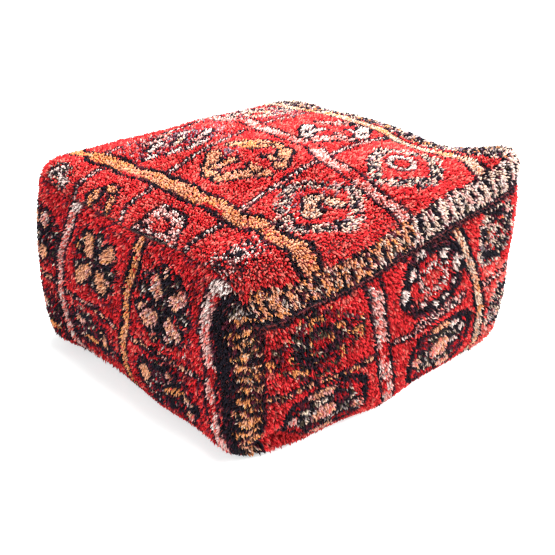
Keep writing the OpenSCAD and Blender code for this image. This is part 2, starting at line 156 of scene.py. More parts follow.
class Form:
    """The stuffed shape, by the same rules as the part's source, in metres."""
    # Slope of the front seam: where it starts on the left, how far it runs, and its curve
    SLOPE_FROM, SLOPE_RUN, SLOPE_CURVE = -0.85, 1.35, 1.1
    # Share of the depth from which the side wrap grows into the front wrap
    FRONT_FROM = 0.75
    # Way along the cloth over which the top seam widens when it lies on the roll
    ROLL_EASE = 0.004
    # How wide the high front right corner is, in shares of half the width and half the depth
    EAR_REACH = (0.45, 0.5)
    # Length of the filling's lumps, and the height over which they fade out at the floor
    LUMP_LENGTH, FLOOR_FADE = 0.17, 0.018
    # Where the filling has settled: a middle, how far the push reaches, and the push
    SETTLED = (
        ((-0.290, 0.260, 0.315), 0.070, (0.013, -0.006, 0.0)),
        ((-0.290, 0.270, 0.220), 0.080, (-0.005, 0.003, 0.0)),
        ((-0.290, 0.270, 0.110), 0.100, (-0.006, 0.003, 0.0)),
        ((-0.285, 0.110, 0.030), 0.090, (0.008, 0.0, 0.015)),
        ((-0.285, -0.225, 0.030), 0.060, (-0.006, 0.0, 0.0)),
        ((-0.234, -0.268, 0.025), 0.036, (0.0, 0.024, 0.020)),
        ((-0.290, -0.106, 0.030), 0.050, (0.003, 0.0, 0.006)),
        ((-0.293, 0.225, 0.060), 0.050, (-0.004, 0.0, -0.004)),
        ((0.185, -0.275, 0.035), 0.045, (0.0, 0.003, 0.008)),
        ((-0.170, -0.265, 0.020), 0.035, (0.0, 0.004, 0.0)),
        ((-0.060, -0.285, 0.030), 0.060, (0.0, -0.004, -0.004)),
        ((0.250, -0.270, 0.040), 0.060, (0.004, 0.002, 0.006)),
        ((0.260, -0.270, 0.130), 0.070, (0.007, 0.0, 0.0)),
        ((0.222, -0.115, 0.345), 0.075, (0.0, 0.0, -0.013)),
        ((0.235, 0.070, 0.335), 0.070, (0.0, 0.0, 0.007)),
        ((0.285, -0.255, 0.335), 0.075, (0.003, -0.002, 0.008)),
        ((-0.060, 0.245, 0.335), 0.110, (0.0, 0.0, -0.004)),
    )

    def __init__(self, shape):
        self.s = shape
        self.half = np.array([shape.width / 2, shape.depth / 2])
        self.flat = self.half.mean() - shape.top_roll
        self.roll = shape.top_roll * math.pi / 2
        self.roll_from = self.flat / (self.flat + shape.side_wrap)
        self.fall = self.roll + shape.edge_height - shape.top_roll - shape.base_roll
        self.foot_scale = 1 - shape.draw_in / self.half[0]
        self.foot = (self.half - shape.base_roll) * self.foot_scale
        self.foot_radius = (shape.corner_radius - shape.base_roll) * self.foot_scale

    def wrap_at(self, ex, ey):
        """Way along the cloth from the start of the top roll to the top seam."""
        s = self.s
        slope = np.clip(1 - (ex - self.SLOPE_FROM) / self.SLOPE_RUN, 0, 1) ** self.SLOPE_CURVE
        front = s.front_right_wrap + (s.front_left_wrap - s.front_right_wrap) * slope
        in_front = np.clip((-ey - self.FRONT_FROM) / (1 - self.FRONT_FROM), 0, 1) ** 2
        return s.side_wrap + (front - s.side_wrap) * in_front

    def rim_gap(self, ex, ey):
        """Width of the top seam, half as wide again where it lies on the roll."""
        on_roll = np.clip((self.roll + self.ROLL_EASE - self.wrap_at(ex, ey)) / (2 * self.ROLL_EASE), 0, 1)
        return self.s.seam_gap * (1 + 0.5 * on_roll)

    def stuffed(self, x, y, z):
        """A place of the square form after stuffing: crown, bulge, drawn-in foot, raised corners, lumps."""
        s = self.s
        u, v, w = x / self.half[0], y / self.half[1], z / s.edge_height
        bx, by = np.clip(1 - u * u, 0, 1), np.clip(1 - v * v, 0, 1)
        bz, up = np.clip(1 - (2 * w - 1) ** 2, 0, 1), np.clip(2 * w - 1, 0, 1)
        k = 1 - (s.draw_in / self.half[0]) * (1 - np.clip(w, 0, 1)) ** 2
        front_right = np.exp(-((u - 1) / self.EAR_REACH[0]) ** 2 - ((v + 1) / self.EAR_REACH[1]) ** 2)
        ear = s.corner_ear * (u * v) ** 4 + s.front_right_ear * front_right
        p = np.stack([
            x * k + np.sign(x) * s.bulge * by * bz * u * u,
            y * k + np.sign(y) * s.bulge * bx * bz * v * v,
            z + s.crown * (bx * by) ** 0.8 * up + ear * up * up,
        ], -1)
        return p + self.unevenness(p)

    def unevenness(self, p):
        """Soft lumps of the filling, which fade out at the floor."""
        moved = self.s.lumps * np.stack([ripple(p, self.LUMP_LENGTH, 11 + i) for i in range(3)], -1)
        for middle, reach, push in self.SETTLED:
            near = np.exp(-(((p - np.array(middle)) / reach) ** 2).sum(-1, keepdims=True))
            moved = moved + near * np.array(push)
        return np.clip(p[..., 2:] / self.FLOOR_FADE, 0, 1) * moved

    def rolled(self, way, inset):
        """How far out on the top roll, and how high, a way along the cloth leads."""
        turn, radius = math.pi / 2 * np.clip(way / self.roll, 0, 1), self.s.top_roll - inset
        start = self.s.edge_height - self.s.top_roll
        return radius * np.sin(turn), start + radius * np.cos(turn) - np.maximum(way - self.roll, 0)

    def top(self, s, t, inset):
        """A place on the top panel, from -1 to 1 across and along, with its wrap."""
        m = np.maximum(np.abs(s), np.abs(t))
        ex, ey = s / np.maximum(m, 1e-9), t / np.maximum(m, 1e-9)
        flat = np.clip(m / self.roll_from, 0, 1)
        past = np.clip((m - self.roll_from) / (1 - self.roll_from), 0, 1)
        out, z = self.rolled(past * (self.wrap_at(ex, ey) - self.rim_gap(ex, ey) / 2), inset)
        a, b = ((h - self.s.top_roll) * flat + out for h in self.half)
        r = np.minimum((self.s.corner_radius - inset) * eased(m) ** 1.5, 0.98 * np.minimum(a, b))
        x, y = loop(ex, ey, a, b, np.maximum(r, 1e-9))
        return self.stuffed(x, y, z)

    def side(self, ex, ey, way, inset):
        """A place at a way along the cloth from the start of the top roll."""
        out, z = self.rolled(way, inset)
        gone = self.s.top_roll - out
        x, y = loop(ex, ey, self.half[0] - gone, self.half[1] - gone, self.s.corner_radius - inset)
        return self.stuffed(x, y, z)

    def way_down(self, ex, ey, w):
        """Way along the cloth at a step down a side: 0 to 1 on the wall, 1 to 2 on the base roll."""
        rim = self.wrap_at(ex, ey) + self.rim_gap(ex, ey) / 2
        on_roll = self.fall + (w - 1) * self.s.base_roll * math.pi / 2
        return np.where(w <= 1, rim + w * (self.fall - rim), on_roll)

    def wall(self, ex, ey, w, inset):
        """A place at a step down a side: 0 to 1 on the wall, 1 to 2 on the base roll."""
        ro, phi = self.s.base_roll - inset, math.pi / 2 * np.clip(w - 1, 0, 1)
        gone = inset + ro * (1 - np.cos(phi))
        radius = np.maximum(self.s.corner_radius - gone, 0.004)
        x, y = loop(ex, ey, self.half[0] - gone, self.half[1] - gone, radius)
        low = self.stuffed(x, y, self.s.base_roll - ro * np.sin(phi))
        high = self.side(ex, ey, np.minimum(self.way_down(ex, ey, w), self.fall), inset)
        return np.where((w <= 1)[..., None], high, low)

    def seam(self, ex, ey, inset):
        return self.side(ex, ey, self.wrap_at(ex, ey), inset)


def eased(v):
    """A smooth step from 0 to 1."""
    c = np.clip(v, 0, 1)
    return c * c * (3 - 2 * c)


def loop(ex, ey, a, b, r):
    """A place on a square loop with rounded corners."""
    qx, qy = ex * a, ey * b
    cx, cy = np.clip(qx, r - a, a - r), np.clip(qy, r - b, b - r)
    dx, dy = qx - cx, qy - cy
    n = np.hypot(dx, dy)
    k = np.where(n > 1e-7, r / np.maximum(n, 1e-7), 0)
    return cx + dx * k, cy + dy * k


def on_side(side, u):
    """The way from the middle to a place across a side, counted front, right, back, left."""
    one = np.ones_like(u)
    return ((u, -one), (one, u), (-u, one), (-one, -u))[side]


def ripple(p, wavelength, seed):
    """A smooth uneven value from -1 to 1 over points of two or three coordinates."""
    waves = 7
    draw = np.random.default_rng(seed)
    total = np.zeros(p.shape[:-1])
    for _ in range(waves):
        way = draw.normal(size=p.shape[-1])
        way *= 2 * math.pi / wavelength * draw.uniform(0.6, 1.5) / np.linalg.norm(way)
        total += np.sin(p @ way + draw.uniform(0, 2 * math.pi))
    return np.clip(total / (0.5 * waves), -1, 1)


def unit(v):
    """Ways of length one."""
    return v / np.maximum(np.linalg.norm(v, axis=-1, keepdims=True), 1e-9)


class Value:
    """A number socket of a node tree, on which arithmetic adds Math nodes."""

    def __init__(self, nodes, socket):
        self.nodes, self.socket = nodes, socket

    def math(self, operation, a, b):
        return self.nodes.node("ShaderNodeMath", {"operation": operation}, {0: a, 1: b})

    def __add__(self, other):
        return self.math("ADD", self, other)

    def __radd__(self, other):
        return self.math("ADD", other, self)

    def __sub__(self, other):
        return self.math("SUBTRACT", self, other)

    def __rsub__(self, other):
        return self.math("SUBTRACT", other, self)

    def __mul__(self, other):
        return self.math("MULTIPLY", self, other)

    def __rmul__(self, other):
        return self.math("MULTIPLY", other, self)

    def __pow__(self, other):
        return self.math("POWER", self, other)

    def __rpow__(self, other):
        return self.math("POWER", other, self)


class Nodes:
    """A node tree, with one way to add a node to it."""

    def __init__(self, tree):
        self.tree = tree

    def node(self, kind, settings=None, inputs=None, output=0):
        """Adds a node, sets it up, fills its sockets and returns one of its outputs."""
        made = self.tree.nodes.new(kind)
        for name, value in (settings or {}).items():
            setattr(made, name, value)
        for name, value in (inputs or {}).items():
            self.feed(made.inputs[name], value)
        return Value(self, made.outputs[output])

    def feed(self, socket, value):
        if isinstance(value, Value):
            self.tree.links.new(value.socket, socket)
        else:
            socket.default_value = value


class Paint(Nodes):
    """A material and the patterns that feed its shader."""

    def __init__(self, name, **inputs):
        self.material = bpy.data.materials.new(name)
        self.material.use_nodes = True
        super().__init__(self.material.node_tree)
        self.shader = self.tree.nodes["Principled BSDF"]
        self.set(**inputs)

    def set(self, **inputs):
        for name, value in inputs.items():
            self.feed(self.shader.inputs[name.replace("_", " ")], value)

    def attribute(self, name, output="Fac"):
        return self.node("ShaderNodeAttribute", {"attribute_name": name}, output=output)

    def cloth_place(self):
        return self.node("ShaderNodeUVMap", {"uv_map": "weave"})

    def place(self):
        return self.node("ShaderNodeTexCoord", output="Object")

    def noise(self, at, scale, detail=2.0, stretch=None):
        if stretch:
            at = self.node("ShaderNodeVectorMath", {"operation": "MULTIPLY"}, {0: at, 1: stretch})
        return self.node("ShaderNodeTexNoise", {}, {"Vector": at, "Scale": scale, "Detail": detail}, "Fac")

    def wave(self, at, scale, direction, distortion):
        return self.node("ShaderNodeTexWave", {"bands_direction": direction},
                         {"Vector": at, "Scale": scale, "Distortion": distortion}, "Fac")

    def mix(self, share, a, b, blend="MIX"):
        a, b = ((*c, 1) if isinstance(c, (tuple, list)) else c for c in (a, b))
        return self.node("ShaderNodeMix", {"data_type": "RGBA", "blend_type": blend},
                         {0: share, 6: a, 7: b}, 2)

    def toned(self, colour, tone):
        """A colour made lighter or darker by a number."""
        grey = self.node("ShaderNodeCombineColor", {}, {0: tone, 1: tone, 2: tone})
        return self.mix(1.0, colour, grey, "MULTIPLY")

    def bump(self, height, strength, distance):
        inputs = {"Height": height, "Strength": strength, "Distance": distance}
        self.set(Normal=self.node("ShaderNodeBump", {}, inputs))


def shaded(colour, k):
    """A colour made lighter or darker."""
    return tuple(min(1.0, c * k) for c in colour)


def pile_paint():
    """Wool yarn: each knot's dye, darkened towards its root as painted shade between the tufts, with fibre
    streaks and uneven patches.
    """
    if "wool_pile" in bpy.data.materials:
        return bpy.data.materials["wool_pile"]
    p = Paint("wool_pile", Specular_IOR_Level=0.12)
    at = p.place()
    along = p.attribute("along")
    patches, fibres = p.noise(at, 14.0), p.noise(at, 900.0, 1.0)
    tone = (0.88 + 0.28 * patches) * (0.88 + 0.24 * fibres)
    dyed = p.attribute("yarn", "Color")
    # deep: the dye darkened towards the root, painted shade in the gaps between the tufts
    deep = p.mix(1.0, dyed, (0.20, 0.09, 0.11), "MULTIPLY")
    p.set(Base_Color=p.toned(p.mix(along ** 1.6, deep, dyed), tone), Roughness=0.98 - 0.14 * along)
    p.bump(fibres, 0.35, 0.0006)
    return p.material


def ground_paint():
    """The rug's woven ground, which shows between the knots, coloured dark red-brown as painted shade of the
    pile.
    """
    return bpy.data.materials.get("rug_ground") or weave_paint("rug_ground", dye("7a1a1e"), 32.0, 0.8)


def weave_paint(name, colour, threads, bump):
    """Plain weave on the cloth's own map: over and under threads, darker where they dip as painted shade,
    slubs and faded patches.
    """
    p = Paint(name, Sheen_Weight=0.2)
    cloth = p.cloth_place()
    warp, weft = p.wave(cloth, threads, "X", 0.6), p.wave(cloth, threads, "Y", 0.6)
    check = p.node("ShaderNodeTexChecker", {}, {"Vector": cloth, "Scale": threads * 6.28 / 2}, "Fac")
    height = warp * check + weft * (1 - check)
    slub, patches = p.noise(cloth, threads * 0.8, 2.0, (1, 9, 1)), p.noise(cloth, 9.0, 3.0)
    # tone: darker where the threads dip, painted shade in the weave's hollows, and uneven along the slubs
    tone = (0.62 + 0.38 * height) * (0.86 + 0.28 * slub)
    worn = p.mix(patches * 0.3, tuple(colour), shaded(colour, 0.6))
    p.set(Base_Color=p.toned(worn, tone), Roughness=0.9 - 0.1 * height)
    p.bump(height + 0.3 * slub, bump, 0.0008)
    return p.material


def thread_paint(name, colour):
    """Waxed thread: twisted plies along its length, painted darker in their grooves and lighter on their
    crowns as painted shade and highlight, with a dull shine.
    """
    p = Paint(name, Sheen_Weight=0.1)
    cloth = p.cloth_place()
    plies = p.wave(cloth, 120.0, "DIAGONAL", 0.3)
    fuzz = p.noise(p.place(), 700.0)
    # Ply bands: darker and lighter copies of one colour, painted shade in the grooves and painted highlight
    # on the crowns
    p.set(Base_Color=p.mix(plies, shaded(colour, 0.55), shaded(colour, 1.25)), Roughness=0.5 + 0.3 * fuzz)
    p.bump(plies + 0.3 * fuzz, 0.5, 0.0005)
    return p.material


def brass_paint():
    """Dulled brass: tarnish in patches, fine scratches and rubbed bright spots."""
    p = Paint("dulled_brass", Metallic=1.0)
    at = p.place()
    tarnish, scratch = p.noise(at, 160.0, 4.0), p.noise(at, 900.0, 2.0, (1, 14, 1))
    p.set(Base_Color=p.mix(tarnish, dye("8f6f3a"), dye("d8b26a")), Roughness=0.26 + 0.3 * tarnish)
    p.bump(scratch + tarnish, 0.25, 0.0003)
    return p.material


def fibre_paint(name, colour):
    """Loose textile fill: matted fibres and tufts of mixed tone."""
    p = Paint(name, Roughness=0.95)
    at = p.place()
    clumps, fibres = p.noise(at, 45.0, 4.0), p.noise(at, 420.0, 3.0, (1, 1, 5))
    p.set(Base_Color=p.mix(clumps * 0.6 + fibres * 0.4, shaded(colour, 0.55), shaded(colour, 1.12)))
    p.bump(clumps + fibres, 0.7, 0.003)
    return p.material


class Chart:
    """The knots of one panel, in millimetres on the rug, and the yarn mix of each.

    A motif's places are shares of the panel's size, and its lengths are millimetres.
    """
    # Distance between the knots into which neighbouring tufts gather, in millimetres
    KNOT = 5.2
    YARNS = ("red", "rose", "deep_red", "orange", "peach", "pink", "white", "cream", "navy", "maroon",
             "olive", "grey", "mauve")
    MIXES = {
        "field": dict(red=0.60, rose=0.28, deep_red=0.12),
        "front field": dict(red=0.62, rose=0.15, deep_red=0.23),
        # The left side's field: darkened with deep red and maroon as painted shade
        "left field": dict(red=0.42, deep_red=0.32, maroon=0.14, rose=0.12),
        "pale field": dict(rose=0.50, red=0.36, pink=0.14),
        "shade": dict(red=0.30, deep_red=0.5, maroon=0.20),
        "orange": dict(orange=0.74, peach=0.18, red=0.08),
        "peach": dict(peach=0.62, orange=0.28, rose=0.10),
        "petal": dict(peach=0.84, orange=0.12, pink=0.04),
        "pink": dict(pink=0.56, rose=0.24, white=0.20),
        "pale": dict(white=0.44, pink=0.44, rose=0.12),
        "dusk": dict(mauve=0.30, maroon=0.26, deep_red=0.26, pink=0.18),
        "blush": dict(pink=0.40, peach=0.42, rose=0.10, white=0.08),
        "white": dict(white=0.84, pink=0.16),
        "cream": dict(cream=0.66, peach=0.28, grey=0.06),
        "navy": dict(navy=0.92, maroon=0.08),
        "outline": dict(navy=0.80, maroon=0.20),
        "maroon": dict(maroon=0.7, deep_red=0.3),
        "leaf": dict(navy=0.36, olive=0.22, grey=0.24, cream=0.18),
        "speckle": dict(navy=0.42, cream=0.22, grey=0.16, pink=0.10, red=0.06, mauve=0.04),
        "pepper": dict(navy=0.22, maroon=0.30, olive=0.20, orange=0.06, deep_red=0.16, cream=0.06),
        "salt": dict(navy=0.36, white=0.32, pink=0.18, red=0.14),
        "loop": dict(white=0.44, cream=0.40, pink=0.16),
        "warm": dict(peach=0.44, orange=0.26, cream=0.16, pink=0.08, maroon=0.06),
        "rust": dict(orange=0.36, peach=0.34, olive=0.12, maroon=0.10, cream=0.08),
        "mottled": dict(navy=0.28, cream=0.28, mauve=0.18, white=0.08, maroon=0.08, orange=0.10),
    }

    def __init__(self, x, y, draw, size, laid=None, field="field", depth=0.4):
        self.x, self.y, self.draw, self.size, self.field, self.depth = x, y, draw, size, field, depth
        self.names = list(self.MIXES)
        self.mix = np.full(x.shape, self.names.index(field))
        self.to_knot, self.knot = gathered(np.stack(laid or (x, y), -1), self.KNOT)

    def put(self, where, mix):
        """Ties the knots at a place with a yarn mix; a motif's field is the panel's own."""
        self.mix[where] = self.names.index(self.field if mix == "field" else mix)

    def uneven(self, wavelength, seed):
        return ripple(np.stack([self.x, self.y], -1), wavelength, seed)

    def line(self, points):
        """Distance from a line through points, which side of it, and the distance along it."""
        best = np.full(self.x.shape, 1e9)
        side, along = np.zeros(self.x.shape), np.zeros(self.x.shape)
        done = 0.0
        points = [(x * self.size[0], y * self.size[1]) for x, y in points]
        for (x0, y0), (x1, y1) in zip(points, points[1:]):
            dx, dy = x1 - x0, y1 - y0
            reach = math.hypot(dx, dy)
            f = np.clip(((self.x - x0) * dx + (self.y - y0) * dy) / reach ** 2, 0, 1)
            d = np.hypot(self.x - x0 - f * dx, self.y - y0 - f * dy)
            near = d < best
            best = np.where(near, d, best)
            side = np.where(near, np.sign((self.x - x0) * dy - (self.y - y0) * dx), side)
            along = np.where(near, done + f * reach, along)
            done += reach
        return best, side, along

    def stroke(self, points, width, mix, edge=6.0):
        """A short stroke with a dark outline."""
        d = self.line(points)[0]
        self.put((d < width / 2 + edge) & (d >= width / 2), "navy")
        self.put(d < width / 2, mix)

    def band(self, points, width, mix, second=None, edge="outline", edge_width=7.0):
        """A band along a line, with an uneven outline on both sides and now and then a second yarn."""
        d, side, along = self.line(corners_cut(points))
        d = d + 0.9 * np.sin(along / 13.0) * side
        self.put(d < width / 2 + edge_width, edge)
        self.put(d < width / 2, mix)
        if second:
            spots = np.sin(along / 15.0) * np.sin(along / 37.0 + 1) + 0.35 * side * np.sin(along / 22.0)
            self.put((d < width / 2) & (spots > 0.36), second)

    def cord(self, points, light="pale", dark="outline", step=11.0, width=2.6, edge=4.2):
        """A line of light dashes between two thin dark rows, like a twisted cord."""
        d, side, along = self.line(points)
        d = np.abs(d + side * 1.2 * np.sin(along / 19.0))
        turn = (along / step + 0.5 * np.sin(along / 41.0)) % 1
        self.put(d < width + edge, dark)
        self.put((d < width) & (turn < 0.70), light)

    def oval(self, x, y, rx, ry, turn=0.0, power=2.0):
        """How far out a knot lies in a turned oval: 1 on its rim. A high power makes it square."""
        a = math.radians(turn)
        dx, dy = self.x - x * self.size[0], self.y - y * self.size[1]
        u, v = dx * math.cos(a) + dy * math.sin(a), dy * math.cos(a) - dx * math.sin(a)
        return (np.abs(u / rx) ** power + np.abs(v / ry) ** power) ** (1 / power)

    def blocks(self, mix, places, halo=6.5, power=2.4):
        """Outlined blots: the dark outlines first, so that neighbours share them."""
        for x, y, rx, ry, turn in places:
            self.put(self.oval(x, y, rx + halo, ry + halo, turn, power) < 1, "navy")
        for x, y, rx, ry, turn in places:
            self.put(self.oval(x, y, rx, ry, turn, power) < 1, mix)

    def steps(self, x, y, rx, ry, step, cut):
        """How far out a knot lies in a stepped diamond with cut points."""
        u = np.round(np.abs(self.x - x * self.size[0]) / step) * step / rx
        v = np.round(np.abs(self.y - y * self.size[1]) / step) * step / ry
        return np.maximum((u + v) / (1 + cut), np.maximum(u, v))

    def rings(self, x, y, rx, ry, *bands, step=6.0, cut=0.45):
        """Stepped rings: each from a share of the size to another, in a yarn mix."""
        far = self.steps(x, y, rx, ry, step, cut)
        for low, high, mix in bands:
            self.put((far >= low) & (far < high), mix)

    def flecks(self, x, y, rx, ry, mix, share):
        """Single knots strewn over an oval, fewer at its rim."""
        far = self.oval(x, y, rx, ry)
        self.put((far < 1) & (self.draw.random(self.x.shape) < share * (1.15 - far)), mix)

    def ladder(self, across, along, width, unit_length, light, warm=None):
        """A border of pale loops round slanted dark ovals, no two of a size."""
        across = across + 2.6 * self.uneven(30.0, 61)
        turn = (along + 4.0 * self.uneven(50.0, 62) + 0.30 * across) / unit_length
        own, phase, v = uneven_number(np.floor(turn)), turn % 1 - 0.5, across / width
        inside = (v > 0) & (v < 1)
        self.put(inside, light)
        if warm is not None:
            self.put(inside & warm, "warm")
        off_along, off_across = phase - 0.12 * (own - 0.5), v - 0.50 - 0.14 * (own * 7 % 1 - 0.5)
        ring = np.hypot(off_along / (0.20 + 0.07 * own), off_across / (0.27 + 0.12 * (own * 3 % 1)))
        self.put(inside & (ring < 1), "navy")
        self.put(inside & (ring < 0.55) & (own > 0.55), "leaf")
        self.put(inside & (np.abs(phase) > 0.44 - 0.07 * own) & (np.abs(v - 0.5) > 0.26), "outline")
        self.put(inside & (v > 0.90) & (np.abs(phase) > 0.18), "outline")

    def stack(self, across, along, width, unit_length, light):
        """A column of pale bars with dark rows between them, no two of a size."""
        turn = (along + 5.0 * self.uneven(30.0, 63) + 0.22 * across) / unit_length
        own, phase, v = uneven_number(np.floor(turn)), turn % 1 - 0.5, across / width
        inside = (v > 0) & (v < 1)
        self.put(inside, "outline")
        off_across = v - 0.46 - 0.16 * (own - 0.5)
        thick, wide = 0.24 + 0.10 * own, 0.38 + 0.10 * (own * 5 % 1)
        bar = np.abs(phase / thick) ** 2.2 + np.abs(off_across / wide) ** 2.6
        self.put(inside & (bar < 1), light)

    def dyes(self, colours):
        """Each knot's colour, drawn from its mix, with uneven dye baths and faded knots, and painted light
        and shade: lighter at the middle of each knot and darker where its tufts part.
        """
        out = np.zeros(self.x.shape + (3,))
        table = np.array([getattr(colours, yarn)[:] for yarn in self.YARNS])
        roll = np.where(self.draw.random(self.x.shape) < 0.15, self.draw.random(self.x.shape), self.knot)
        for i, name in enumerate(self.names):
            here = self.mix == i
            mix = self.MIXES[name]
            edges = np.cumsum(list(mix.values())) / sum(mix.values())
            picked = np.searchsorted(edges, roll[here]).clip(0, len(edges) - 1)
            out[here] = table[[self.YARNS.index(y) for y in mix]][picked]
        bath = ripple(np.stack([self.x * 0.25, self.y], -1), 120.0, 5)
        own = 0.34 * (self.knot * 97.3 % 1 - 0.5)
        # rim: painted light and shade, lighter at the middle of each knot and darker at its edge, where the
        # tufts part
        rim = 0.24 - 0.12 * np.hypot(*self.to_knot.T)
        faded = 0.07 * self.draw.normal(size=self.x.shape).clip(-2, 2)
        # depth scales both the knots' own uneven tone and the painted shade of rim
        out *= (1 + 0.10 * bath + self.depth * (own + rim) + faded)[..., None]
        return np.clip(out, 0.004, 1)


def uneven_number(whole):
    """A fixed uneven number from 0 to 1 for each whole number."""
    return np.sin(whole * 78.23 + 4.1) * 43758.55 % 1


def gathered(p, size):
    """For each tuft the way to the middle of its knot, and that knot's own uneven number."""
    best, way, knot = np.full(len(p), 1e9), np.zeros_like(p), np.zeros(len(p))
    for i in (-1, 0, 1):
        for j in (-1, 0, 1):
            cell = np.floor(p / size) + (i, j)
            own = np.sin(cell @ np.array([[12.99, 39.35, 73.16], [78.23, 11.14, 52.24]])) * 43758.55 % 1
            to = (cell + 0.5 + 0.7 * (own[:, :2] - 0.5)) * size - p
            far = np.hypot(*to.T)
            near = far < best
            best, knot = np.where(near, far, best), np.where(near, own[:, 2], knot)
            way = np.where(near[:, None], to, way)
    return way, knot


def corners_cut(points):
    """The same path with its corners cut twice."""
    for _ in range(2):
        cut = [((1 - f) * x0 + f * x1, (1 - f) * y0 + f * y1)
               for (x0, y0), (x1, y1) in zip(points, points[1:]) for f in (0.25, 0.75)]
        points = [points[0], *cut, points[-1]]
    return points


def draw_top(c, front):
    """Three bands, crossing cords and two rows of medallions, and a ladder along the right and front."""
    draw_top_left_strip(c)
    draw_top_cords(c)
    draw_top_back_row(c)
    draw_top_medallions(c)
    draw_top_bands(c)
    warm = c.x + 70 * c.uneven(90.0, 3) < -50
    c.ladder(front, c.x, TOP_BORDER, 20.5, "loop", warm)
    # Dark row along the front seam: painted shadow in the crease under the hanging border
    c.put(front < 7.5 + 2.5 * c.uneven(26.0, 4), "outline")


def draw_top_left_strip(c):
    """Small pale and dark figures outside the warm band."""
    c.flecks(-0.85, 0.62, 30, 44, "leaf", 1.1)
    c.blocks("white", [(-0.84, 0.66, 12, 4.5, -50), (-0.88, 0.69, 10, 4, 40), (-0.80, 0.63, 9, 4, -70),
                       (-0.86, 0.58, 13, 4.5, 60), (-0.87, 0.53, 9, 4, -30)], 5)
    c.blocks("peach", [(-0.885, 0.285, 10, 5, 10), (-0.85, 0.26, 11, 6, 10), (-0.785, 0.22, 8, 9, 0),
                       (-0.86, 0.15, 17, 5, 5)], 6)
    c.flecks(-0.88, 0.20, 24, 7, "maroon", 1.1)
    c.stroke([(-0.93, -0.12), (-0.85, -0.165), (-0.765, -0.165), (-0.775, -0.27), (-0.80, -0.30),
              (-0.93, -0.385)], 17, "pale", 6)
    c.stroke([(-0.895, -0.12), (-0.89, -0.33)], 9, "pale", 4)
    c.put(c.oval(-0.845, -0.235, 13, 16) < 1, "field")
    c.blocks("navy", [(-0.885, -0.15, 5, 4, 0), (-0.75, -0.185, 4, 5, 0), (-0.755, -0.26, 4, 5, 0),
                      (-0.895, -0.235, 6, 4, 0), (-0.83, -0.30, 5, 3, 30)], 0)
    c.flecks(-0.81, -0.72, 52, 34, "salt", 1.25)
    c.flecks(-0.80, -0.73, 54, 36, "outline", 0.45)


def draw_top_cords(c):
    """Cords that cross the three fields between the bands."""
    for points in (
            [(-0.92, 0.405), (-0.80, 0.41), (-0.69, 0.465)],
            [(-0.92, 0.005), (-0.80, 0.035), (-0.67, 0.06)],
            [(-0.92, -0.495), (-0.80, -0.475), (-0.67, -0.455)],
            [(-0.56, 0.105), (-0.48, 0.12), (-0.38, 0.15), (-0.28, 0.19), (-0.10, 0.235), (0.06, 0.30)],
            [(0.18, 0.33), (0.35, 0.36), (0.64, 0.42)],
            [(-0.57, -0.435), (-0.48, -0.415), (-0.38, -0.39), (-0.28, -0.368), (-0.16, -0.352),
             (-0.02, -0.315)],
            [(0.09, -0.285), (0.20, -0.262), (0.32, -0.232), (0.45, -0.21), (0.64, -0.185)],
            [(-0.58, 0.62), (0.12, 0.76), (0.64, 0.86)]):
        c.cord(points)


def draw_top_back_row(c):
    """A dusky rosette of pale strokes, and a hooked hexagon in each of the two wide fields."""
    c.flecks(-0.24, 0.48, 112, 76, "dusk", 1.25)
    c.flecks(0.45, 0.62, 120, 96, "dusk", 0.9)
    for points, mix in (
            ([(-0.50, 0.37), (-0.45, 0.36)], "white"), ([(-0.40, 0.31), (-0.34, 0.325)], "white"),
            ([(-0.31, 0.27), (-0.20, 0.31)], "white"), ([(-0.43, 0.45), (-0.34, 0.49)], "white"),
            ([(-0.30, 0.42), (-0.22, 0.46)], "cream"), ([(-0.22, 0.36), (-0.14, 0.40)], "pink"),
            ([(-0.36, 0.55), (-0.26, 0.55)], "pink"), ([(-0.13, 0.41), (-0.06, 0.46)], "white"),
            ([(-0.20, 0.53), (-0.08, 0.56)], "white"), ([(-0.26, 0.62), (-0.16, 0.64)], "blush")):
        c.stroke(points, 10, mix)
    draw_hooked_hexagon(c, "petal", "petal")
    c.put(c.line([(-0.238, -0.13), (-0.238, -0.31)])[0] < 3.5, "field")
    c.flecks(-0.24, 0.045, 26, 13, "dusk", 1.3)
    c.blocks("outline", [(-0.405, -0.075, 4, 4, 0), (-0.31, 0.022, 9, 3, 0), (-0.25, -0.035, 4, 6, 0),
                         (-0.165, -0.115, 5, 4, 0), (-0.165, -0.20, 7, 4, 30)], 0)
    c.flecks(-0.10, 0.06, 24, 14, "orange", 1.0)
    draw_hooked_hexagon(c, "white", "pink", (0.635, 0.07), 0.88)


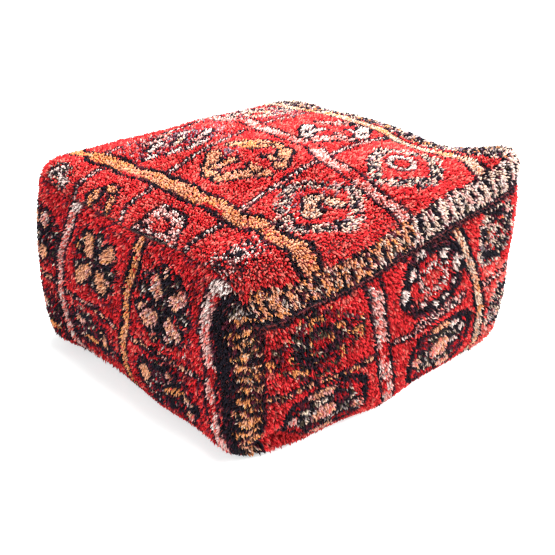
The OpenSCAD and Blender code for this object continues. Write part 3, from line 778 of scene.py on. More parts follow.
def draw_top_medallions(c):
    """Speckled rings: a cream arch in the left one, turned squares in the other two."""
    for ring in (
            [(-0.56, -0.665), (-0.49, -0.63), (-0.43, -0.53), (-0.34, -0.475), (-0.28, -0.43),
             (-0.20, -0.45), (-0.145, -0.515), (-0.105, -0.565), (-0.08, -0.64), (-0.16, -0.715),
             (-0.215, -0.775), (-0.30, -0.795), (-0.40, -0.77), (-0.48, -0.735), (-0.56, -0.665)],
            [(0.06, -0.625), (0.13, -0.53), (0.20, -0.45), (0.26, -0.395), (0.40, -0.37), (0.48, -0.45),
             (0.525, -0.56), (0.45, -0.63), (0.38, -0.70), (0.30, -0.745), (0.20, -0.71), (0.12, -0.665),
             (0.06, -0.625)],
            [(0.20, 0.58), (0.30, 0.72), (0.45, 0.76), (0.58, 0.66), (0.56, 0.54), (0.42, 0.48),
             (0.27, 0.50), (0.20, 0.58)]):
        c.put(c.line(ring)[0] < 11.5 + 2.5 * c.uneven(24.0, 9), "speckle")
    c.flecks(0.24, -0.75, 30, 12, "speckle", 1.3)
    c.flecks(-0.30, -0.60, 46, 34, "dusk", 0.7)
    c.stroke([(-0.395, -0.665), (-0.345, -0.62), (-0.30, -0.57), (-0.25, -0.575), (-0.225, -0.62),
              (-0.215, -0.665)], 17, "cream", 4)
    c.blocks("cream", [(-0.375, -0.66, 15, 11, 0), (-0.225, -0.645, 12, 14, 0)], 3)
    c.blocks("outline", [(-0.31, -0.665, 4, 8, 0), (-0.265, -0.57, 4, 4, 0), (-0.29, -0.62, 5, 4, 0)], 0)
    for x, y, mix, shares in (
            (0.325, -0.525, "white", (1.16, 1.0, 0.66, 0.50)), (0.40, 0.62, "cream", (1.2, 1.0, 0.6, 0.4))):
        far = c.oval(x, y, 30, 23, 32, 3.0)
        for share, yarn in zip(shares, ("maroon", mix, "outline", "field")):
            c.put(far < share, yarn)


def draw_top_bands(c):
    """The ladder along the right, then the warm, the pink and the cream band."""
    c.ladder(302.0 - c.x, c.y, 70.0, 25.0, "mottled")
    warm_band = [(-0.52, 1.0), (-0.60, 0.88), (-0.645, 0.78), (-0.65, 0.68), (-0.63, 0.56), (-0.605, 0.48),
                 (-0.615, 0.38), (-0.635, 0.27), (-0.605, 0.17), (-0.60, 0.08), (-0.615, -0.02),
                 (-0.615, -0.12), (-0.625, -0.20), (-0.605, -0.30), (-0.605, -0.36), (-0.625, -0.45),
                 (-0.625, -0.55), (-0.61, -0.62), (-0.61, -0.72), (-0.60, -0.80), (-0.56, -0.86)]
    c.band(warm_band, 24, "peach", edge_width=8.5)
    d, side, along = c.line(warm_band)
    c.put((d < 12) & (along < 190 + 30 * np.sin(c.x / 4.0)), "orange")
    c.put((d < 12) & (d > 4) & (side > 0) & (np.sin(along / 31.0) > 0.75), "field")
    c.band([(0.22, 1.0), (0.20, 0.60), (0.17, 0.38), (0.15, 0.30), (0.12, 0.15), (0.11, 0.05),
            (0.12, -0.03), (0.13, -0.10), (0.10, -0.20), (0.04, -0.27), (0.02, -0.33), (0.025, -0.40),
            (0.02, -0.50), (0.0, -0.58), (-0.01, -0.65), (-0.02, -0.75), (0.0, -0.86)], 20, "pink", "field",
           edge_width=6.0)
    c.band([(0.67, 1.0), (0.655, 0.3), (0.64, -0.1), (0.625, -0.35), (0.62, -0.48), (0.64, -0.62),
            (0.625, -0.70), (0.59, -0.76), (0.55, -0.84)], 17, "cream", "peach")


def draw_hooked_hexagon(c, light, second, shift=(0.0, 0.0), size=1.0):
    """Four hooked pale strokes round a red middle with dark hooks."""
    for points, width, mix in (
            ([(-0.455, -0.075), (-0.40, -0.01), (-0.345, 0.045), (-0.305, 0.085)], 20, light),
            ([(-0.39, -0.035), (-0.285, -0.035)], 12, light),
            ([(-0.175, 0.12), (-0.10, 0.085), (-0.04, 0.04), (-0.015, -0.02), (-0.022, -0.08)], 18, second),
            ([(-0.05, 0.0), (-0.13, 0.02)], 11, second),
            ([(-0.455, -0.145), (-0.38, -0.175), (-0.30, -0.22), (-0.275, -0.255)], 20, second),
            ([(-0.285, -0.21), (-0.27, -0.15)], 12, second),
            ([(-0.03, -0.115), (-0.09, -0.16), (-0.135, -0.20), (-0.185, -0.25)], 20, light),
            ([(-0.16, -0.12), (-0.15, -0.19)], 10, light)):
        c.stroke([(-0.24 + shift[0] + (x + 0.24) * size, shift[1] + y * size) for x, y in points],
                 width * size, mix)


def draw_left(c):
    """Two rosettes between pale bands, a dotted line, lower rosettes and the dark corner column."""
    draw_left_rosettes(c)
    for points in (
            [(-1.0, 0.50), (-0.75, 0.53), (-0.55, 0.555), (-0.30, 0.555), (-0.20, 0.57), (-0.06, 0.60)],
            [(0.08, 0.60), (0.20, 0.58), (0.30, 0.578), (0.40, 0.60), (0.50, 0.63), (0.66, 0.62)]):
        c.cord(points, "blush", "navy", step=15.0, width=2.0, edge=4.6)
    draw_left_bands(c)
    draw_left_column(c)


def draw_left_rosettes(c):
    """Petals and dark leaves on peppered grounds, in two rows."""
    c.flecks(-0.21, 0.22, 70, 54, "outline", 1.0)
    c.flecks(0.405, 0.27, 66, 62, "outline", 1.0)
    c.flecks(-0.21, 0.22, 70, 54, "leaf", 0.45)
    c.flecks(0.405, 0.27, 66, 62, "leaf", 0.45)
    for x, y in ((-0.82, 0.24), (-0.40, 0.83), (0.32, 0.84), (-0.86, 0.84)):
        c.flecks(x, y, 76, 54, "outline", 2.1)
        c.flecks(x, y, 76, 54, "maroon", 0.5)
        c.flecks(x, y, 76, 54, "leaf", 0.25)
    c.blocks("leaf", [(-0.155, 0.04, 5, 16, 15), (-0.37, 0.285, 14, 4, -15), (-0.06, 0.24, 12, 4, 10),
                      (-0.235, 0.34, 4, 15, 10), (0.515, 0.085, 6, 10, 10), (0.255, 0.20, 8, 7, 0),
                      (0.555, 0.28, 12, 4, 10), (0.385, 0.39, 4, 17, 0), (0.43, 0.12, 6, 12, 0),
                      (-0.85, 0.24, 10, 5, 0)], 5)
    c.blocks("petal", [(-0.255, 0.115, 13, 20, 0), (-0.08, 0.12, 25, 11.5, -35),
                       (-0.325, 0.335, 27, 11, -32), (-0.158, 0.335, 13, 17, 5), (-0.36, 0.155, 7, 5, 0),
                       (-0.085, 0.31, 6, 5, 0), (-0.245, 0.82, 8, 20, 12), (0.17, 0.82, 22, 12, -38),
                       (-0.80, 0.36, 15, 11, -30), (-0.90, 0.13, 11, 14, 0)])
    c.blocks("blush", [(0.345, 0.16, 11.5, 19, 0), (0.515, 0.18, 22, 11, -38), (0.285, 0.365, 19, 12, -25),
                       (0.458, 0.39, 19, 12, 28), (0.215, 0.32, 11, 5, -25), (0.31, 0.465, 6, 5, 0),
                       (0.425, 0.46, 7, 5, 0), (0.42, 0.045, 4, 9, 0), (-0.46, 0.75, 15, 10, -10),
                       (0.40, 0.745, 6, 9, 0), (0.53, 0.88, 10, 5, 10), (0.54, 0.98, 8, 9, 0),
                       (-0.77, 0.12, 13, 11, -20), (-0.88, 0.36, 11, 13, 0), (-0.85, 0.75, 13, 10, 0)])
    c.blocks("orange", [(-0.42, 0.935, 24, 6, 0), (0.43, 0.84, 22, 5, -12), (-0.82, 0.93, 20, 6, 0)], 4)
    for x in (-0.41, 0.31):
        c.blocks("navy", [(x, 0.70, 16, 8, 0), (x - 0.01, 0.86, 11, 8, 0), (x + 0.15, 0.79, 7, 6, 30),
                          (x + 0.29, 0.90, 8, 14, 20), (x - 0.19, 0.87, 6, 12, -30),
                          (x + 0.08, 0.96, 15, 6, 15)], 0)


def draw_left_bands(c):
    """A pink, an orange and a broad pink band, with white spots."""
    c.blocks("white", [(0.54, 0.52, 5, 3, -40)], 0)
    c.band([(-0.40, -0.10), (-0.44, 0.0), (-0.50, 0.12), (-0.555, 0.22), (-0.595, 0.33), (-0.62, 0.46),
            (-0.625, 0.60), (-0.635, 0.75), (-0.65, 0.86), (-0.63, 1.3)], 16, "pink")
    c.band([(0.205, -0.12), (0.20, 0.0), (0.165, 0.12), (0.13, 0.22), (0.095, 0.31), (0.078, 0.42),
            (0.055, 0.52), (0.02, 0.60), (-0.025, 0.69), (-0.05, 0.80), (-0.06, 0.90), (-0.025, 1.0),
            (0.0, 1.3)], 13, "orange", "peach")
    c.band([(0.885, -0.055), (0.82, -0.03), (0.765, 0.05), (0.735, 0.13), (0.725, 0.23), (0.74, 0.36),
            (0.752, 0.46), (0.755, 0.54), (0.74, 0.65), (0.725, 0.75), (0.745, 0.86), (0.775, 0.93),
            (0.82, 1.02), (0.835, 1.3)], 20, "pink", "field", edge_width=6.5)
    c.blocks("white", [(-0.395, -0.09, 13, 7, -10), (0.835, -0.035, 22, 12, -8),
                       (0.735, 0.115, 7, 14, 15)], 0)


def draw_left_column(c):
    """Bars between dark rows down the front corner, behind a wavy dark line."""
    downs = (0.0, 0.08, 0.16, 0.3, 0.48, 0.6, 0.75, 0.87, 1.0, 1.3)
    acrosses = (0.885, 0.84, 0.818, 0.828, 0.852, 0.852, 0.842, 0.852, 0.885, 0.90)
    past = c.x - np.interp(c.y / c.size[1], downs, acrosses) * c.size[0]
    hidden = c.y < 0.24 * c.size[1] - 30 + 20 * c.uneven(30.0, 8)
    c.stack(past - 8, c.y + SIDE_PATTERNS["left"]["start"], 58.0, 17.5, "rust")
    c.put((past > 0) & hidden, "leaf")
    c.put((np.abs(past + 1) < 9 + 2 * c.uneven(25.0, 6)) & (c.y > -4), "navy")


def draw_front(c, under):
    """Three compartments between pale bands, the corner column, and a dark row under the top seam, painted
    shadow of the border that hangs over it.
    """
    draw_front_left(c)
    draw_front_middle(c)
    draw_front_right(c)
    draw_front_bands(c)
    c.stack(300 + c.x + 33, c.y + SIDE_PATTERNS["front"]["start"], 58.0, 17.5, "rust")
    # Dark row under the top seam: painted shadow of the border that hangs over it
    c.put(under < 5.5 + 2.5 * c.uneven(26.0, 5), "outline")


def draw_front_left(c):
    """A peppered diamond over a cord and a barred octagon."""
    c.rings(-0.61, 0.27, 84, 46, (0, 1.0, "pepper"), (0.66, 0.80, "shade"), (0.34, 0.50, "outline"),
            (0.0, 0.18, "shade"), step=5.0, cut=0.30)
    c.blocks("orange", [(-0.66, 0.08, 8, 3.5, 0), (-0.60, 0.085, 7, 3.5, 10), (-0.475, 0.20, 8, 6, 20),
                        (-0.38, 0.29, 11, 4, -15), (-0.365, 0.335, 8, 3.5, 0), (-0.47, 0.40, 5, 7, 0),
                        (-0.76, 0.395, 12, 4, 15), (-0.70, 0.42, 8, 3.5, 10), (-0.89, 0.30, 8, 5, 0)], 3)
    c.flecks(-0.76, 0.20, 20, 8, "leaf", 0.8)
    c.cord([(-0.95, 0.575), (-0.80, 0.57), (-0.70, 0.55), (-0.55, 0.565), (-0.40, 0.585), (-0.24, 0.605)],
           "peach", step=13.0, width=2.2, edge=4.4)
    draw_barred_octagon(
        c, -0.55, 0.84, 83, 43,
        ("blush", [(-0.59, 0.668, 27, 6, 0), (-0.555, 0.86, 25, 14, 0), (-0.335, 0.925, 13, 8, 20),
                   (-0.55, 1.04, 25, 7, 0)]),
        ("pink", [(-0.755, 0.85, 10, 9, 20)]),
        ("maroon", [(-0.70, 0.72, 11, 6, 0), (-0.45, 0.78, 15, 8, 30), (-0.62, 0.965, 13, 4, 0)]))


def draw_front_middle(c):
    """A medallion of rings with white blocks over two cords and a barred octagon."""
    c.rings(0.165, 0.125, 76, 54, (0.70, 1.0, "outline"), (0.46, 0.70, "field"), (0.24, 0.46, "salt"),
            (0.0, 0.24, "pale field"), step=4.0)
    c.flecks(0.165, 0.125, 70, 50, "field", 0.25)
    c.blocks("white", [(0.07, -0.10, 11, 7, 0), (0.245, -0.045, 9, 8, 0), (0.01, 0.04, 9, 9, 0),
                       (-0.05, 0.18, 8, 11, 0), (0.35, 0.06, 11, 11, 0), (0.335, 0.21, 5, 5, 0),
                       (0.10, 0.31, 7, 4, 0), (0.20, 0.345, 8, 4, 0), (0.275, 0.31, 6, 4, 0)], 6, 3.0)
    c.cord([(-0.10, 0.555), (0.0, 0.535), (0.10, 0.49), (0.20, 0.465), (0.30, 0.45), (0.46, 0.43)],
           step=9.0, width=2.6)
    c.cord([(0.06, 0.46), (0.20, 0.415), (0.30, 0.40), (0.46, 0.385)], "pink", step=9.0, width=2.4)
    draw_barred_octagon(
        c, 0.31, 0.80, 82, 53,
        ("petal", [(0.28, 0.585, 24, 6, 0)]),
        ("blush", [(0.315, 0.79, 23, 17, 0), (0.12, 0.835, 12, 7, 20), (0.38, 0.985, 20, 7, 0)]),
        ("white", [(0.49, 0.71, 8, 6, 30), (0.42, 0.63, 11, 5, 0), (0.445, 0.80, 12, 4, 45)]),
        ("maroon", [(0.16, 0.70, 15, 5, 0), (0.46, 0.87, 13, 7, 0)]))


def draw_front_right(c):
    """A paler field with two speckled medallions and a cord."""
    c.put((c.x / c.size[0] > 0.55 + 0.14 * c.y / c.size[1]) & (c.y > 40 + 25 * c.uneven(60.0, 7)),
          "pale field")
    for x, y in ((0.69, 0.02), (0.86, 0.72)):
        c.rings(x, y, 46, 48, (0.0, 1.0, "speckle"), (0.62, 0.78, "navy"), (0.30, 0.48, "pepper"),
                (0.0, 0.20, "salt"))
    c.cord([(0.60, 0.42), (0.70, 0.405), (1.0, 0.36)], "pink", step=9.0, width=2.4)


def draw_front_bands(c):
    """A pink and a cream band, which lean to the right as they go down."""
    c.band([(-0.31, -0.20), (-0.30, -0.10), (-0.27, 0.05), (-0.25, 0.20), (-0.22, 0.35), (-0.20, 0.50),
            (-0.17, 0.65), (-0.15, 0.75), (-0.12, 0.90), (-0.08, 1.05), (-0.03, 1.3)], 22, "pink", "field",
           edge="navy")
    c.band([(0.29, -0.32), (0.32, -0.22), (0.37, -0.12), (0.41, -0.02), (0.46, 0.10), (0.51, 0.20),
            (0.555, 0.33), (0.58, 0.45), (0.61, 0.55), (0.635, 0.70), (0.66, 0.82), (0.69, 0.92),
            (0.72, 1.3)], 13, "cream", "peach", edge="navy")


def draw_barred_octagon(c, x, y, rx, ry, *groups):
    """A dark octagon with pale bars across it."""
    far = c.oval(x, y, rx, ry, power=3.2)
    c.put(far < 1.0, "navy")
    c.put((far < 0.84) & (far > 0.66), "shade")
    c.put(far < 0.66, "leaf")
    for mix, places in groups:
        c.blocks(mix, places, 5.5, 3.0)


def draw_hidden_side(c, shift):
    """The unseen sides: the same bands, cords, rosettes and medallions in another order."""
    for i, x in enumerate((-0.74, -0.12, 0.50)):
        if (i + shift) % 2:
            c.flecks(x, 0.24, 64, 54, "outline", 0.8)
            c.blocks("petal", [(x - 0.05, 0.13, 13, 19, 0), (x + 0.12, 0.14, 23, 12, -35),
                               (x - 0.12, 0.34, 24, 11, -32), (x + 0.05, 0.35, 13, 17, 5)])
            bars = [(x, 0.64, 26, 7, 0), (x, 0.80, 22, 13, 0), (x, 0.97, 22, 7, 0)]
            draw_barred_octagon(c, x, 0.80, 70, 46, ("blush", bars))
        else:
            c.rings(x, 0.24, 66, 54, (0.62, 1.0, "speckle"), (0.80, 0.88, "shade"), (0.22, 0.42, "cream"),
                    (0.42, 0.5, "outline"))
            c.flecks(x, 0.80, 60, 44, "outline", 1.0)
            c.blocks("blush", [(x - 0.12, 0.74, 14, 10, 0), (x + 0.12, 0.74, 13, 11, 0),
                               (x - 0.08, 0.88, 20, 7, -4), (x + 0.11, 0.90, 14, 8, 0)])
    c.cord([(-1.0, 0.53), (-0.3, 0.51), (0.3, 0.54), (0.76, 0.52)], step=15.0, width=2.3)
    for x, width, mix, second in (
            (-0.43, 16, "pink", "field"), (0.19, 13, "orange", "peach"), (0.78, 16, "pink", "field")):
        c.band([(x, -0.2), (x - 0.03, 0.3), (x - 0.01, 0.7), (x + 0.02, 1.3)], width, mix, second)
    c.stack(c.x - 0.86 * c.size[0], c.y, 60.0, 18.0, "rust")


def even_steps(points, pitch):
    """Places along a line of points that lie a pitch apart, as shares of its index."""
    run = run_along(points)
    count = max(2, int(round(run[-1] / pitch)))
    return np.interp((np.arange(count) + 0.5) / count * run[-1], run, np.linspace(0, 1, len(points)))


def tuft_template():
    """One cut tuft of yarn: three sides that widen to a shoulder and close in a tip, open at its root."""
    root_width, shoulder = 0.74, 0.62
    bm = bmesh.new()
    bmesh.ops.create_cone(bm, cap_ends=True, cap_tris=False, segments=3, radius1=root_width, radius2=1.0,
                          depth=shoulder)
    root = [f for f in bm.faces if all(v.co.z < 0 for v in f.verts)]
    bmesh.ops.delete(bm, geom=root, context="FACES_ONLY")
    crown = [f for f in bm.faces if all(v.co.z > 0 for v in f.verts)]
    tip = bmesh.ops.poke(bm, faces=crown)["verts"]
    bmesh.ops.translate(bm, vec=(0, 0, 1 - shoulder), verts=tip)
    bmesh.ops.translate(bm, vec=(0, 0, shoulder / 2), verts=bm.verts[:])
    bm.verts.index_update()
    points = np.array([v.co[:] for v in bm.verts])
    faces = [[v.index for v in f.verts] for f in bm.faces]
    bm.free()
    return points, faces, unrolled(points, faces)


def unrolled(points, faces):
    """Each corner's place on the tuft's map, which unrolls it round its axis."""
    places = []
    for face in faces:
        middle = points[face].mean(0)
        facing = math.atan2(middle[1], middle[0])
        for x, y, z in points[face]:
            on_axis = math.hypot(x, y) < 1e-3
            swing = 0 if on_axis else math.remainder(math.atan2(y, x) - facing, 2 * math.pi)
            places.append((0.5 + (facing + swing) / (2.6 * math.pi), z))
    return np.array(places)


def stamp(name, template, roots, out, lean, side, radius, colours, paint):
    """One mesh with a copy of the template at each root, bent from its outward way into its lean."""
    points, faces, cell = template
    n, k = len(roots), len(points)
    up = points[:, 2]
    rise, reach = up - 0.18 * up ** 2, up ** 1.8
    middle = roots[:, None] + out[:, None] * rise[None, :, None] + lean[:, None] * reach[None, :, None]
    rising, leaning = (1 - 0.36 * up)[None, :, None], (1.8 * up ** 0.8)[None, :, None]
    stem = unit(out[:, None] * rising + lean[:, None] * leaning)
    across = np.cross(stem, side[:, None])
    round_it = side[:, None] * points[None, :, :1] + across * points[None, :, 1:2]
    co = middle + radius[:, None, None] * round_it
    co[..., 2] = np.maximum(co[..., 2], TUFT_FLOOR)
    corners = np.concatenate(faces)
    counts = np.array([len(f) for f in faces])
    mesh = bpy.data.meshes.new(name)
    mesh.vertices.add(n * k)
    mesh.vertices.foreach_set("co", co.astype(np.float32).ravel())
    mesh.loops.add(n * len(corners))
    tufts = np.arange(n)[:, None]
    mesh.loops.foreach_set("vertex_index", (corners[None] + tufts * k).astype(np.int32).ravel())
    mesh.polygons.add(n * len(counts))
    starts = np.concatenate([[0], np.cumsum(counts)[:-1]])
    mesh.polygons.foreach_set("loop_start", (starts[None] + tufts * len(corners)).astype(np.int32).ravel())
    mesh.update(calc_edges=True)
    mesh.polygons.foreach_set("use_smooth", np.ones(n * len(counts), bool))
    yarn = mesh.attributes.new("yarn", "FLOAT_COLOR", "POINT")
    rgba = np.concatenate([colours, np.ones((n, 1))], 1)
    yarn.data.foreach_set("color", np.repeat(rgba, k, 0).astype(np.float32).ravel())
    along = mesh.attributes.new("along", "FLOAT", "POINT")
    along.data.foreach_set("value", np.tile(up, n).astype(np.float32))
    grid = math.ceil(math.sqrt(n))
    corner = np.concatenate([tufts % grid, tufts // grid], 1)
    uv = (corner[:, None] + 0.08 + 0.84 * cell[None]) / grid
    mesh.uv_layers.new(name="OFBake").uv.foreach_set("vector", uv.astype(np.float32).ravel())
    mesh.materials.append(paint)
    return link(name, mesh)


def link(name, data):
    """A mesh, a lamp or a camera as an object of the scene."""
    piece = bpy.data.objects.new(name, data)
    bpy.context.scene.collection.objects.link(piece)
    return piece


def cloth(name, bm, paint, place, thickness=None, offset=0.0):
    """A finished cloth piece from a bmesh, with its own map for the weave, in metres."""
    weave = bm.loops.layers.uv.new("weave")
    bm.verts.index_update()
    for face in bm.faces:
        face.smooth = True
        for corner in face.loops:
            corner[weave].uv = place[corner.vert.index]
    mesh = bpy.data.meshes.new(name)
    bm.to_mesh(mesh)
    bm.free()
    mesh.materials.append(paint)
    piece = link(name, mesh)
    if thickness:
        solid = piece.modifiers.new("thickness", "SOLIDIFY")
        solid.thickness, solid.offset = thickness, offset
        solid.use_even_offset = False
    return piece


def ground(name, across, down, where, paint, thickness):
    """A woven ground: a grid laid on the form, given its thickness inwards."""
    bm = bmesh.new()
    bmesh.ops.create_grid(bm, x_segments=across, y_segments=down, size=1.0)
    flat = np.array([v.co[:2] for v in bm.verts])
    for v, p in zip(bm.verts, where(flat[:, 0], flat[:, 1])):
        v.co = p
    bmesh.ops.recalc_face_normals(bm, faces=bm.faces[:])
    middle = Vector((0, 0, 0.15))
    if sum((f.calc_center_median() - middle).dot(f.normal) for f in bm.faces) < 0:
        bmesh.ops.reverse_faces(bm, faces=bm.faces[:])
    return cloth(name, bm, paint, flat * 0.3, thickness, -1.0)


def pile(name, knots, point, colours, to_knot, pile_way, lean, paint, draw):
    """Tufts on a panel, each leaning to the middle of its knot.

    The knots are the panel's two coordinates and the pinch at its seams; point gives a place at an inset.
    """
    p = bpy.context.scene.pouf_pile
    a, b, pinch = knots
    n, step = len(a), 1e-3
    gather, loose = 0.00055, 0.0008
    root, tip = point(a, b, p.ground_inset + 0.3 * pinch), point(a, b, pinch)
    da = unit(point(a + step, b, p.ground_inset) - point(a - step, b, p.ground_inset))
    db = unit(point(a, b + step, p.ground_inset) - point(a, b - step, p.ground_inset))
    out = unit(np.cross(da, db))
    out *= np.sign((out * (tip - root)).sum(-1, keepdims=True))
    trimmed = (1.14 - 0.09 * np.hypot(*to_knot.T) + 0.16 * draw.normal(size=n)).clip(0.6, 1.5)
    high = np.linalg.norm(tip - root, axis=-1) * trimmed
    swirl = ripple(root, 0.10, 23) * 0.6 + draw.normal(size=n) * 0.55
    fall = np.array([0.0, 0.0, -1.25]) + np.asarray(pile_way)
    along = unit(fall - out * (out @ fall)[:, None])
    hang = along * np.cos(swirl)[:, None] + np.cross(out, along) * np.sin(swirl)[:, None]
    hang *= (lean * (1 + 0.35 * draw.normal(size=n)).clip(0.3, 1.8))[:, None]
    hang += gather * (to_knot[:, :1] * da + to_knot[:, 1:] * db)
    root = root + loose * draw.normal(size=(n, 1)) * da + loose * draw.normal(size=(n, 1)) * db
    radius = p.yarn_radius * (1 + 0.14 * draw.normal(size=n)).clip(0.7, 1.35)
    side = unit(np.cross(out, hang))
    return stamp(name, tuft_template(), root, out * high[:, None], hang, side, radius, colours, paint)


def tied(point, a, b, pitch, draw):
    """Knots about a pitch apart all over a panel.

    A cell of its grid gets more of them where the form stretches it, and fewer where it is squeezed.
    """
    wide_a, wide_b = (g.ravel() for g in np.meshgrid(np.gradient(a), np.gradient(b), indexing="ij"))
    a, b = (g.ravel() for g in np.meshgrid(a, b, indexing="ij"))
    step = 1e-3

    def stretch(da, db):
        ends = point(a + da, b + db, SPACING_DEPTH) - point(a - da, b - db, SPACING_DEPTH)
        return np.linalg.norm(ends, axis=-1) / (2 * step)

    size_a, size_b = stretch(step, 0) * wide_a / pitch, stretch(0, step) * wide_b / pitch
    kept = draw.random(len(a)) < np.minimum(1, size_a / 0.7) * np.minimum(1, size_b / 0.7)
    more_a, more_b = (np.clip(np.round(g), 1, 8).astype(int) for g in (size_a, size_b))
    out_a, out_b = [], []
    for i in np.unique(more_a):
        for j in np.unique(more_b):
            here = kept & (more_a == i) & (more_b == j)
            for k in range(i):
                for m in range(j):
                    out_a.append(a[here] + ((k + 0.5) / i - 0.5) * wide_a[here])
                    out_b.append(b[here] + ((m + 0.5) / j - 0.5) * wide_b[here])
    return np.concatenate(out_a), np.concatenate(out_b)


def dress(piece, node):
    """Makes a piece ride on the cover in place of a node."""
    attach(piece, "cover")
    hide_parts(node)


class POUF_OT_top_panel(bpy.types.Operator):
    """Lays the top panel: its woven ground and its knots, with the border that hangs over the front"""
    bl_idname = "pouf.top_panel"
    bl_label = "Top Panel"

    def execute(self, context):
        form, p = Form(context.scene.pouf_shape), context.scene.pouf_pile
        draw = np.random.default_rng(p.seed)
        cut = 0.995
        base = ground("top_panel_ground", 84, 84, lambda s, t: form.top(s * cut, t * cut, p.ground_inset),
                      ground_paint(), form.s.rug_thickness - p.ground_inset)
        dress(base, "top_panel")
        fine = np.linspace(-1, 1, 1601)
        zero = np.zeros_like(fine)
        s = even_steps(form.top(fine, zero, SPACING_DEPTH), p.knot_pitch) * 2 - 1
        t = even_steps(form.top(zero, fine, SPACING_DEPTH), p.knot_pitch) * 2 - 1
        s, t = tied(form.top, s, t, p.knot_pitch, draw)
        front = 1000 * self.from_front_seam(form, s, t)
        x, y = (g * 1000 * (h - form.s.top_roll) / form.roll_from for g, h in zip((s, t), form.half))
        chart = Chart(x, y, draw, TOP_SIZE, (x, front))
        draw_top(chart, front)
        colours = chart.dyes(context.scene.pouf_colours)
        pinch = self.pinch(form, p, s, t)
        lean = np.where(front < TOP_BORDER, p.border_lean, p.top_lean)
        strip = np.select([front < TOP_BORDER, x < TOP_PARTINGS[0], x < TOP_PARTINGS[1]], [0, 1, 2], 3)
        for i, name in enumerate(("border", "left", "middle", "right")):
            here = strip == i
            made = pile(f"top_{name}_pile", (s[here], t[here], pinch[here]), form.top, colours[here],
                        chart.to_knot[here], (0, -0.8, 0), lean[here], pile_paint(), draw)
            dress(made, "top_panel")
        return {"FINISHED"}

    def pinch(self, form, p, s, t):
        """How far the pile is drawn in: near the top seam, and most at the front."""
        m = np.maximum(np.abs(s), np.abs(t))
        wrap, flat = form.wrap_at(s / m, t / m), form.flat / form.roll_from
        on_wrap = (1 - m) / (1 - form.roll_from) * wrap
        edge = np.where(m > form.roll_from, on_wrap, wrap + (form.roll_from - m) * flat)
        hard, soft = SIDE_PATTERNS["front"]["pinch"], SIDE_PATTERNS["left"]["pinch"]
        return p.seam_pinch * np.exp(-(edge / PINCH_REACH) ** 2) * np.where(-t >= np.abs(s), hard, soft)

    def from_front_seam(self, form, s, t):
        """Way along the cloth from the front seam, also past the ends of the front."""
        flat = form.flat / form.roll_from
        hang = form.wrap_at(np.clip(s / np.maximum(np.abs(t), 1e-6), -1, 1), -np.ones_like(t))
        on_wrap = (1 + t) / (1 - form.roll_from) * hang
        return np.where(-t > form.roll_from, on_wrap, hang + (form.roll_from + t) * flat)


class POUF_OT_side_panels(bpy.types.Operator):
    """Lays the four side panels: their woven grounds and their knots"""
    bl_idname = "pouf.side_panels"
    bl_label = "Side Panels"

    def execute(self, context):
        form, p = Form(context.scene.pouf_shape), context.scene.pouf_pile
        for side, name in enumerate(SIDES):
            self.lay(form, p, side, name, context.scene.pouf_colours)
        return {"FINISHED"}

    def lay(self, form, p, side, name, colours):
        """One side: the knots stop short of the seams, and before the pile would lie under the base."""
        draw = np.random.default_rng(p.seed + 10 + side)
        node, pattern, wide = "side_panel_" + name, SIDE_PATTERNS[name], form.half[side % 2]
        edge_cut, knots_across, knots_down = form.s.seam_gap / form.foot[side % 2], 0.996, 1.93

        def point(u, w, inset):
            return form.wall(*on_side(side, u), w, inset)

        base = ground(node + "_ground", 84, 44,
                      lambda u, v: point(u * (1 - edge_cut), 1 - v, p.ground_inset),
                      ground_paint(), form.s.rug_thickness - p.ground_inset)
        dress(base, node)
        fine = np.linspace(-1, 1, 1201)
        u = even_steps(point(fine, np.full_like(fine, 0.5), SPACING_DEPTH), p.knot_pitch) * 2 - 1
        w = even_steps(point(np.zeros_like(fine), 1 + fine, SPACING_DEPTH), p.knot_pitch) * 2
        u, w = tied(point, u * knots_across, w[w < knots_down], p.knot_pitch, draw)
        ex, ey = on_side(side, u)
        way = form.way_down(ex, ey, w)
        under = way - form.wrap_at(ex, ey)
        edge = np.minimum(under, (1 - np.abs(u)) * wide)
        pinch = p.seam_pinch * np.exp(-(edge / PINCH_REACH) ** 2) * pattern["pinch"]
        chart = Chart(u * wide * 1000, 1000 * way - pattern["start"], draw, (wide * 1000, pattern["height"]),
                      field=pattern["field"], depth=pattern["depth"])
        if name == "front":
            draw_front(chart, 1000 * under)
        elif name == "left":
            draw_left(chart)
        else:
            draw_hidden_side(chart, side)
        shaggy = (chart.x < pattern["shaggy"][0]) | (chart.x > pattern["shaggy"][1])
        made = pile(node + "_pile", (u, w, pinch), point, chart.dyes(colours), chart.to_knot, (0, 0, 0),
                    np.where(shaggy, p.border_lean, p.side_lean), pile_paint(), draw)
        dress(made, node)


def run_along(path):
    """Distance along a path at each of its points."""
    return np.concatenate([[0], np.cumsum(np.linalg.norm(np.diff(path, axis=0), axis=1))])


def tube(name, path, radius, paint, sides):
    """A thread along a path: a ring of corners at each point, bridged along it and closed at both ends."""
    way = unit(np.gradient(path, axis=0))
    first = unit(np.cross(way, np.array([0.0, 0.0, 1.0])) + 1e-6)
    second = np.cross(way, first)
    run = run_along(path)
    bm = bmesh.new()
    rings, place = [], []
    for i in range(len(path)):
        ring = []
        for j in range(sides):
            a = 2 * math.pi * j / sides
            ring.append(bm.verts.new(path[i] + radius * (math.cos(a) * first[i] + math.sin(a) * second[i])))
            place.append((run[i], j / sides * THREAD_ROUND))
        rings.append(ring)
    edges = [[bm.edges.new((r[j], r[(j + 1) % sides])) for j in range(sides)] for r in rings]
    for here, ahead in zip(edges, edges[1:]):
        bmesh.ops.bridge_loops(bm, edges=here + ahead)
    for ring in (rings[0], rings[-1]):
        bm.faces.new(ring)
    bmesh.ops.recalc_face_normals(bm, faces=bm.faces[:])
    return cloth(name, bm, paint, place)


